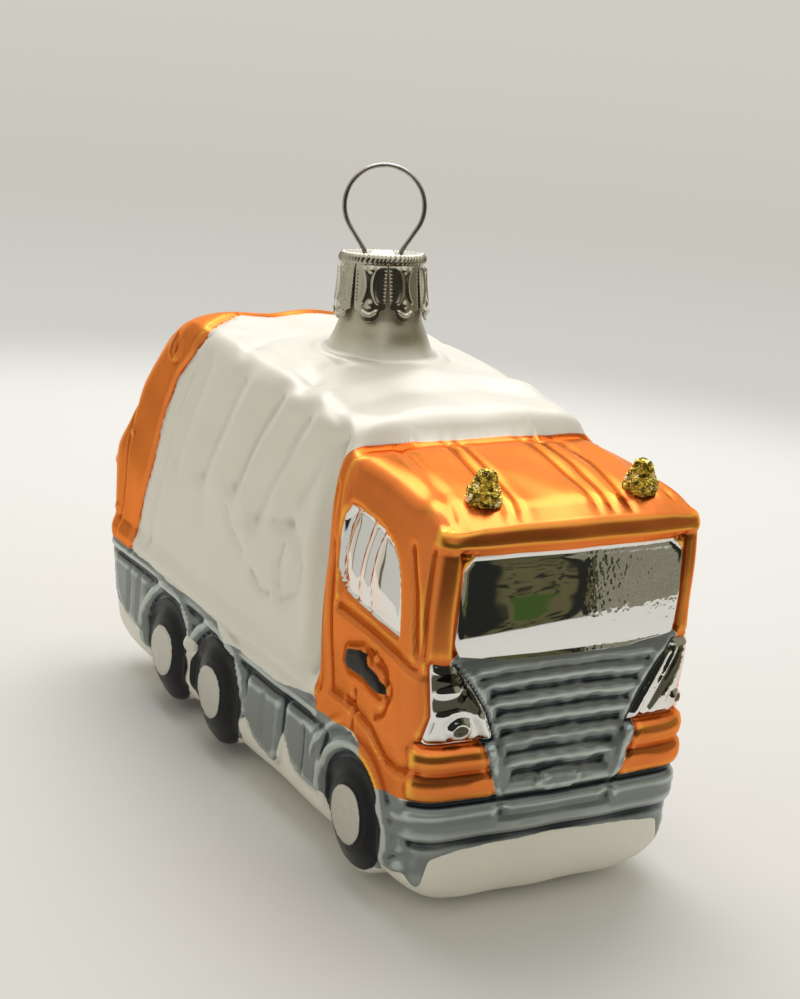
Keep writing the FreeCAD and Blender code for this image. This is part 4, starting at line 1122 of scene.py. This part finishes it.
def wire_tube(thick, sides=18):
    """A circle carried along the path: the ring's plane gives one direction and the path's own normal the
    other."""
    line = wire_path()
    forward = np.gradient(line, axis=0)
    forward /= np.linalg.norm(forward, axis=1, keepdims=True)
    turn = np.linspace(0, 2 * np.pi, sides, endpoint=False)
    across = thick / 2 * np.cos(turn)
    along = line[:, :1] - forward[:, 1:] * thick / 2 * np.sin(turn)
    up = line[:, 1:] + forward[:, :1] * thick / 2 * np.sin(turn)
    return leaned(along * math.cos(RING_TURN) - across * math.sin(RING_TURN),
                  along * math.sin(RING_TURN) + across * math.cos(RING_TURN), up)


class ORNAMENT_OT_hanger(bpy.types.Operator):
    """Build the wire ring with its sprung legs"""
    bl_idname = "ornament.hanger"
    bl_label = "Wire hanger"

    def execute(self, context):
        points, faces = capped(wire_tube(context.scene.ornament_sizes.wire_thickness / MM))
        piece = new_mesh("wire_ring", points, turned_over(faces))
        steel = drawn_metal("Spring wire", "wire", 0.7, 1.6, (0.24, 0.36), 0.3, 0.01, 0.5)
        piece.data.materials.append(steel)
        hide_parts("wire_hanger")
        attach(piece, "hanger")
        return {"FINISHED"}


# ---- Stage: pale floor, soft lamp, backdrop and camera ----
FLOOR_RADIUS = 330
CAMERA_PLACE = (-141.66, -241.68, 122.57)
CAMERA_TURN = (-31.1, 16.19, 5.33)  # azimuth, elevation and roll in degrees
LENS = 69.46
CLUTTER = 1 / 55  # waves of the room's clutter, as a share of its distance
BUSH = (0.49, -0.853, -0.18)  # direction of a green bush outside
GLOOM = (0.018, 0.018, 0.015)


def soft_floor():
    """A disc of paper: rings of points, fading out towards its edge."""
    rings, columns = 24, 96
    radius = np.linspace(0.02, 1, rings)[:, None] * FLOOR_RADIUS
    turn = np.linspace(0, 2 * np.pi, columns, endpoint=False)
    grid = np.stack([radius * np.cos(turn), radius * np.sin(turn), 0 * radius * turn], -1)
    points = np.concatenate([grid.reshape(-1, 3), [[0, 0, 0]]]) - (0, 0, 0.02)
    faces = turned_over(grid_faces(rings, columns) + fan(np.arange(columns), len(points) - 1))
    floor = new_mesh("floor", points, faces)
    new, g = material("Paper floor")
    apart = g.node("VectorMath", {0: g.place()}, operation="LENGTH").outputs[1]
    shade = g.mix(g.math("MULTIPLY", g.noise(120, 1), 0.25), tint("floor"), tint("floor", 0.94))
    paper = g.principled(Base_Color=shade, Roughness=0.7, Specular_IOR_Level=0.2)
    faded, near = (g.between(apart, FLOOR_RADIUS * a * MM, FLOOR_RADIUS * b * MM)
                   for a, b in ((0.62, 0.98), (0.5, 0.54)))
    mirrored = g.node("LightPath", {}).outputs["Is Glossy Ray"]
    clear = g.node("BsdfTransparent", {}).outputs[0]
    g.output(g.mix_shader(g.blend(mirrored, faded, near), paper, clear))
    floor.data.materials.append(new)


def window_lamp():
    data = bpy.data.lights.new("Window", "AREA")
    data.size = 420 * MM
    data.energy = 1.75
    obj = bpy.data.objects.new("Window", data)
    bpy.context.scene.collection.objects.link(obj)
    obj.location = Vector((110, 190, 450)) * MM
    obj.rotation_euler = (Vector((0, 0, 30)) * MM - obj.location).to_track_quat("-Z", "Y").to_euler()


def backdrop():
    """World: a beige wall that darkens upwards for the eye, and a room with one dim side for reflections."""
    world = bpy.data.worlds.new("Room")
    bpy.context.scene.world = world
    g = Graph(world)
    direction = g.node("TexCoord", {}).outputs["Generated"]
    x, y, up = g.parts(direction)
    wall = (0.84, 0.835, 0.82)
    for low, high, shade in ((-0.262, -0.205, (0.63, 0.62, 0.58)), (-0.205, -0.13, (0.585, 0.565, 0.515)),
                             (-0.13, -0.03, (0.625, 0.605, 0.54))):
        wall = g.fade(up, low, high, wall, shade)
    behind = g.math("MULTIPLY", g.between(y, -0.1, 0.5), g.between(x, -0.45, 0.1))
    room = g.mix(behind, (0.58, 0.57, 0.52), (1.05, 1.05, 1.03))
    room = g.fade(up, 0.5, 0.9, room, (1, 1, 1))
    before = g.math("MULTIPLY_ADD", x, 0.15, g.math("MULTIPLY", y, -0.99))
    dim = g.math("MULTIPLY", g.between(before, -0.05, 0.25), g.between(up, 0.5, 0.34))
    aside = g.math("MULTIPLY_ADD", x, 0.84, g.math("MULTIPLY", y, 0.54))
    clutter = g.noise(CLUTTER, 3, 0.55, direction, unit=1)
    shade = g.fade(clutter, 0.4, 0.5, (0.018, 0.018, 0.014), (0.105, 0.098, 0.045))
    post = g.math("ABSOLUTE", g.math("ADD", aside, -0.028))
    shade = g.fade(post, 0.014, 0.009, shade, GLOOM)
    shade = g.fade(aside, -0.096, -0.104, shade, GLOOM)
    from_bush = g.node("VectorMath", {0: direction, 1: BUSH}, operation="DISTANCE").outputs["Value"]
    leaf = g.math("MULTIPLY_ADD", clutter, 0.05, from_bush)
    shade = g.fade(leaf, 0.06, 0.055, shade, (0.05, 0.085, 0.02))
    stone = g.fade(clutter, 0.35, 0.65, (0.17, 0.16, 0.11), (0.29, 0.275, 0.21))
    room = g.mix(dim, room, g.fade(aside, 0.04, 0.047, shade, stone))
    streak = g.between(g.math("ABSOLUTE", g.math("ADD", x, 0.5)), 0.035, 0.02)
    room = g.mix(g.math("MULTIPLY", streak, g.between(y, 0, 0.3)), room, (0.15, 0.14, 0.09))
    lit = g.fade(up, 0, 0.9, (0.74, 0.71, 0.61), (0.4, 0.385, 0.33))
    lit, mirrored, seen = (g.node("Background", {0: shade}).outputs[0] for shade in (lit, room, wall))
    path = g.node("LightPath", {}).outputs
    lit = g.mix_shader(path["Is Glossy Ray"], lit, mirrored)
    g.output(g.mix_shader(path["Is Camera Ray"], lit, seen), "OutputWorld")


def camera():
    """The camera looks along its azimuth and elevation with a small roll."""
    azimuth, elevation, roll = np.radians(CAMERA_TURN)
    back = Vector((math.sin(azimuth) * math.cos(elevation), -math.cos(azimuth) * math.cos(elevation),
                   math.sin(elevation)))
    level = (-back).cross(Vector((0, 0, 1))).normalized()
    over_head = level.cross(-back)
    right = math.cos(roll) * level + math.sin(roll) * over_head
    up = -math.sin(roll) * level + math.cos(roll) * over_head
    data = bpy.data.cameras.new("Camera")
    data.lens = LENS
    data.clip_start = 0.01
    obj = bpy.data.objects.new("Camera", data)
    bpy.context.scene.collection.objects.link(obj)
    turned = Matrix((right, up, back)).transposed().to_4x4()
    obj.matrix_world = Matrix.Translation(Vector(CAMERA_PLACE) * MM) @ turned
    bpy.context.scene.camera = obj


class ORNAMENT_OT_stage(bpy.types.Operator):
    """Set out the floor, lamp, backdrop and camera"""
    bl_idname = "ornament.stage"
    bl_label = "Stage"

    def execute(self, context):
        context.scene.view_settings.view_transform = "Standard"
        soft_floor()
        backdrop()
        window_lamp()
        camera()
        return {"FINISHED"}


class ORNAMENT_PT_panel(bpy.types.Panel):
    """Lists the pieces of the ornament"""
    bl_label = "Glass truck ornament"
    bl_idname = "ORNAMENT_PT_panel"
    bl_space_type = "VIEW_3D"
    bl_region_type = "UI"
    bl_category = "Ornament"

    def draw(self, context):
        for operator in PIECES:
            self.layout.operator(operator.bl_idname)
        for settings in (context.scene.ornament_colours, context.scene.ornament_sizes):
            for key in type(settings).__annotations__:
                self.layout.prop(settings, key)


PIECES = (ORNAMENT_OT_glass, ORNAMENT_OT_beacons, ORNAMENT_OT_cap, ORNAMENT_OT_hanger, ORNAMENT_OT_stage)
CLASSES = (OrnamentColours, OrnamentSizes) + PIECES + (ORNAMENT_PT_panel,)


def register():
    for cls in CLASSES:
        bpy.utils.register_class(cls)
    bpy.types.Scene.ornament_colours = bpy.props.PointerProperty(type=OrnamentColours)
    bpy.types.Scene.ornament_sizes = bpy.props.PointerProperty(type=OrnamentSizes)


def unregister():
    del bpy.types.Scene.ornament_sizes
    del bpy.types.Scene.ornament_colours
    for cls in reversed(CLASSES):
        bpy.utils.unregister_class(cls)


def main():
    register()
    for operator in PIECES:
        group, name = operator.bl_idname.split(".")
        getattr(getattr(bpy.ops, group), name)()


if __name__ == "__main__":
    main()
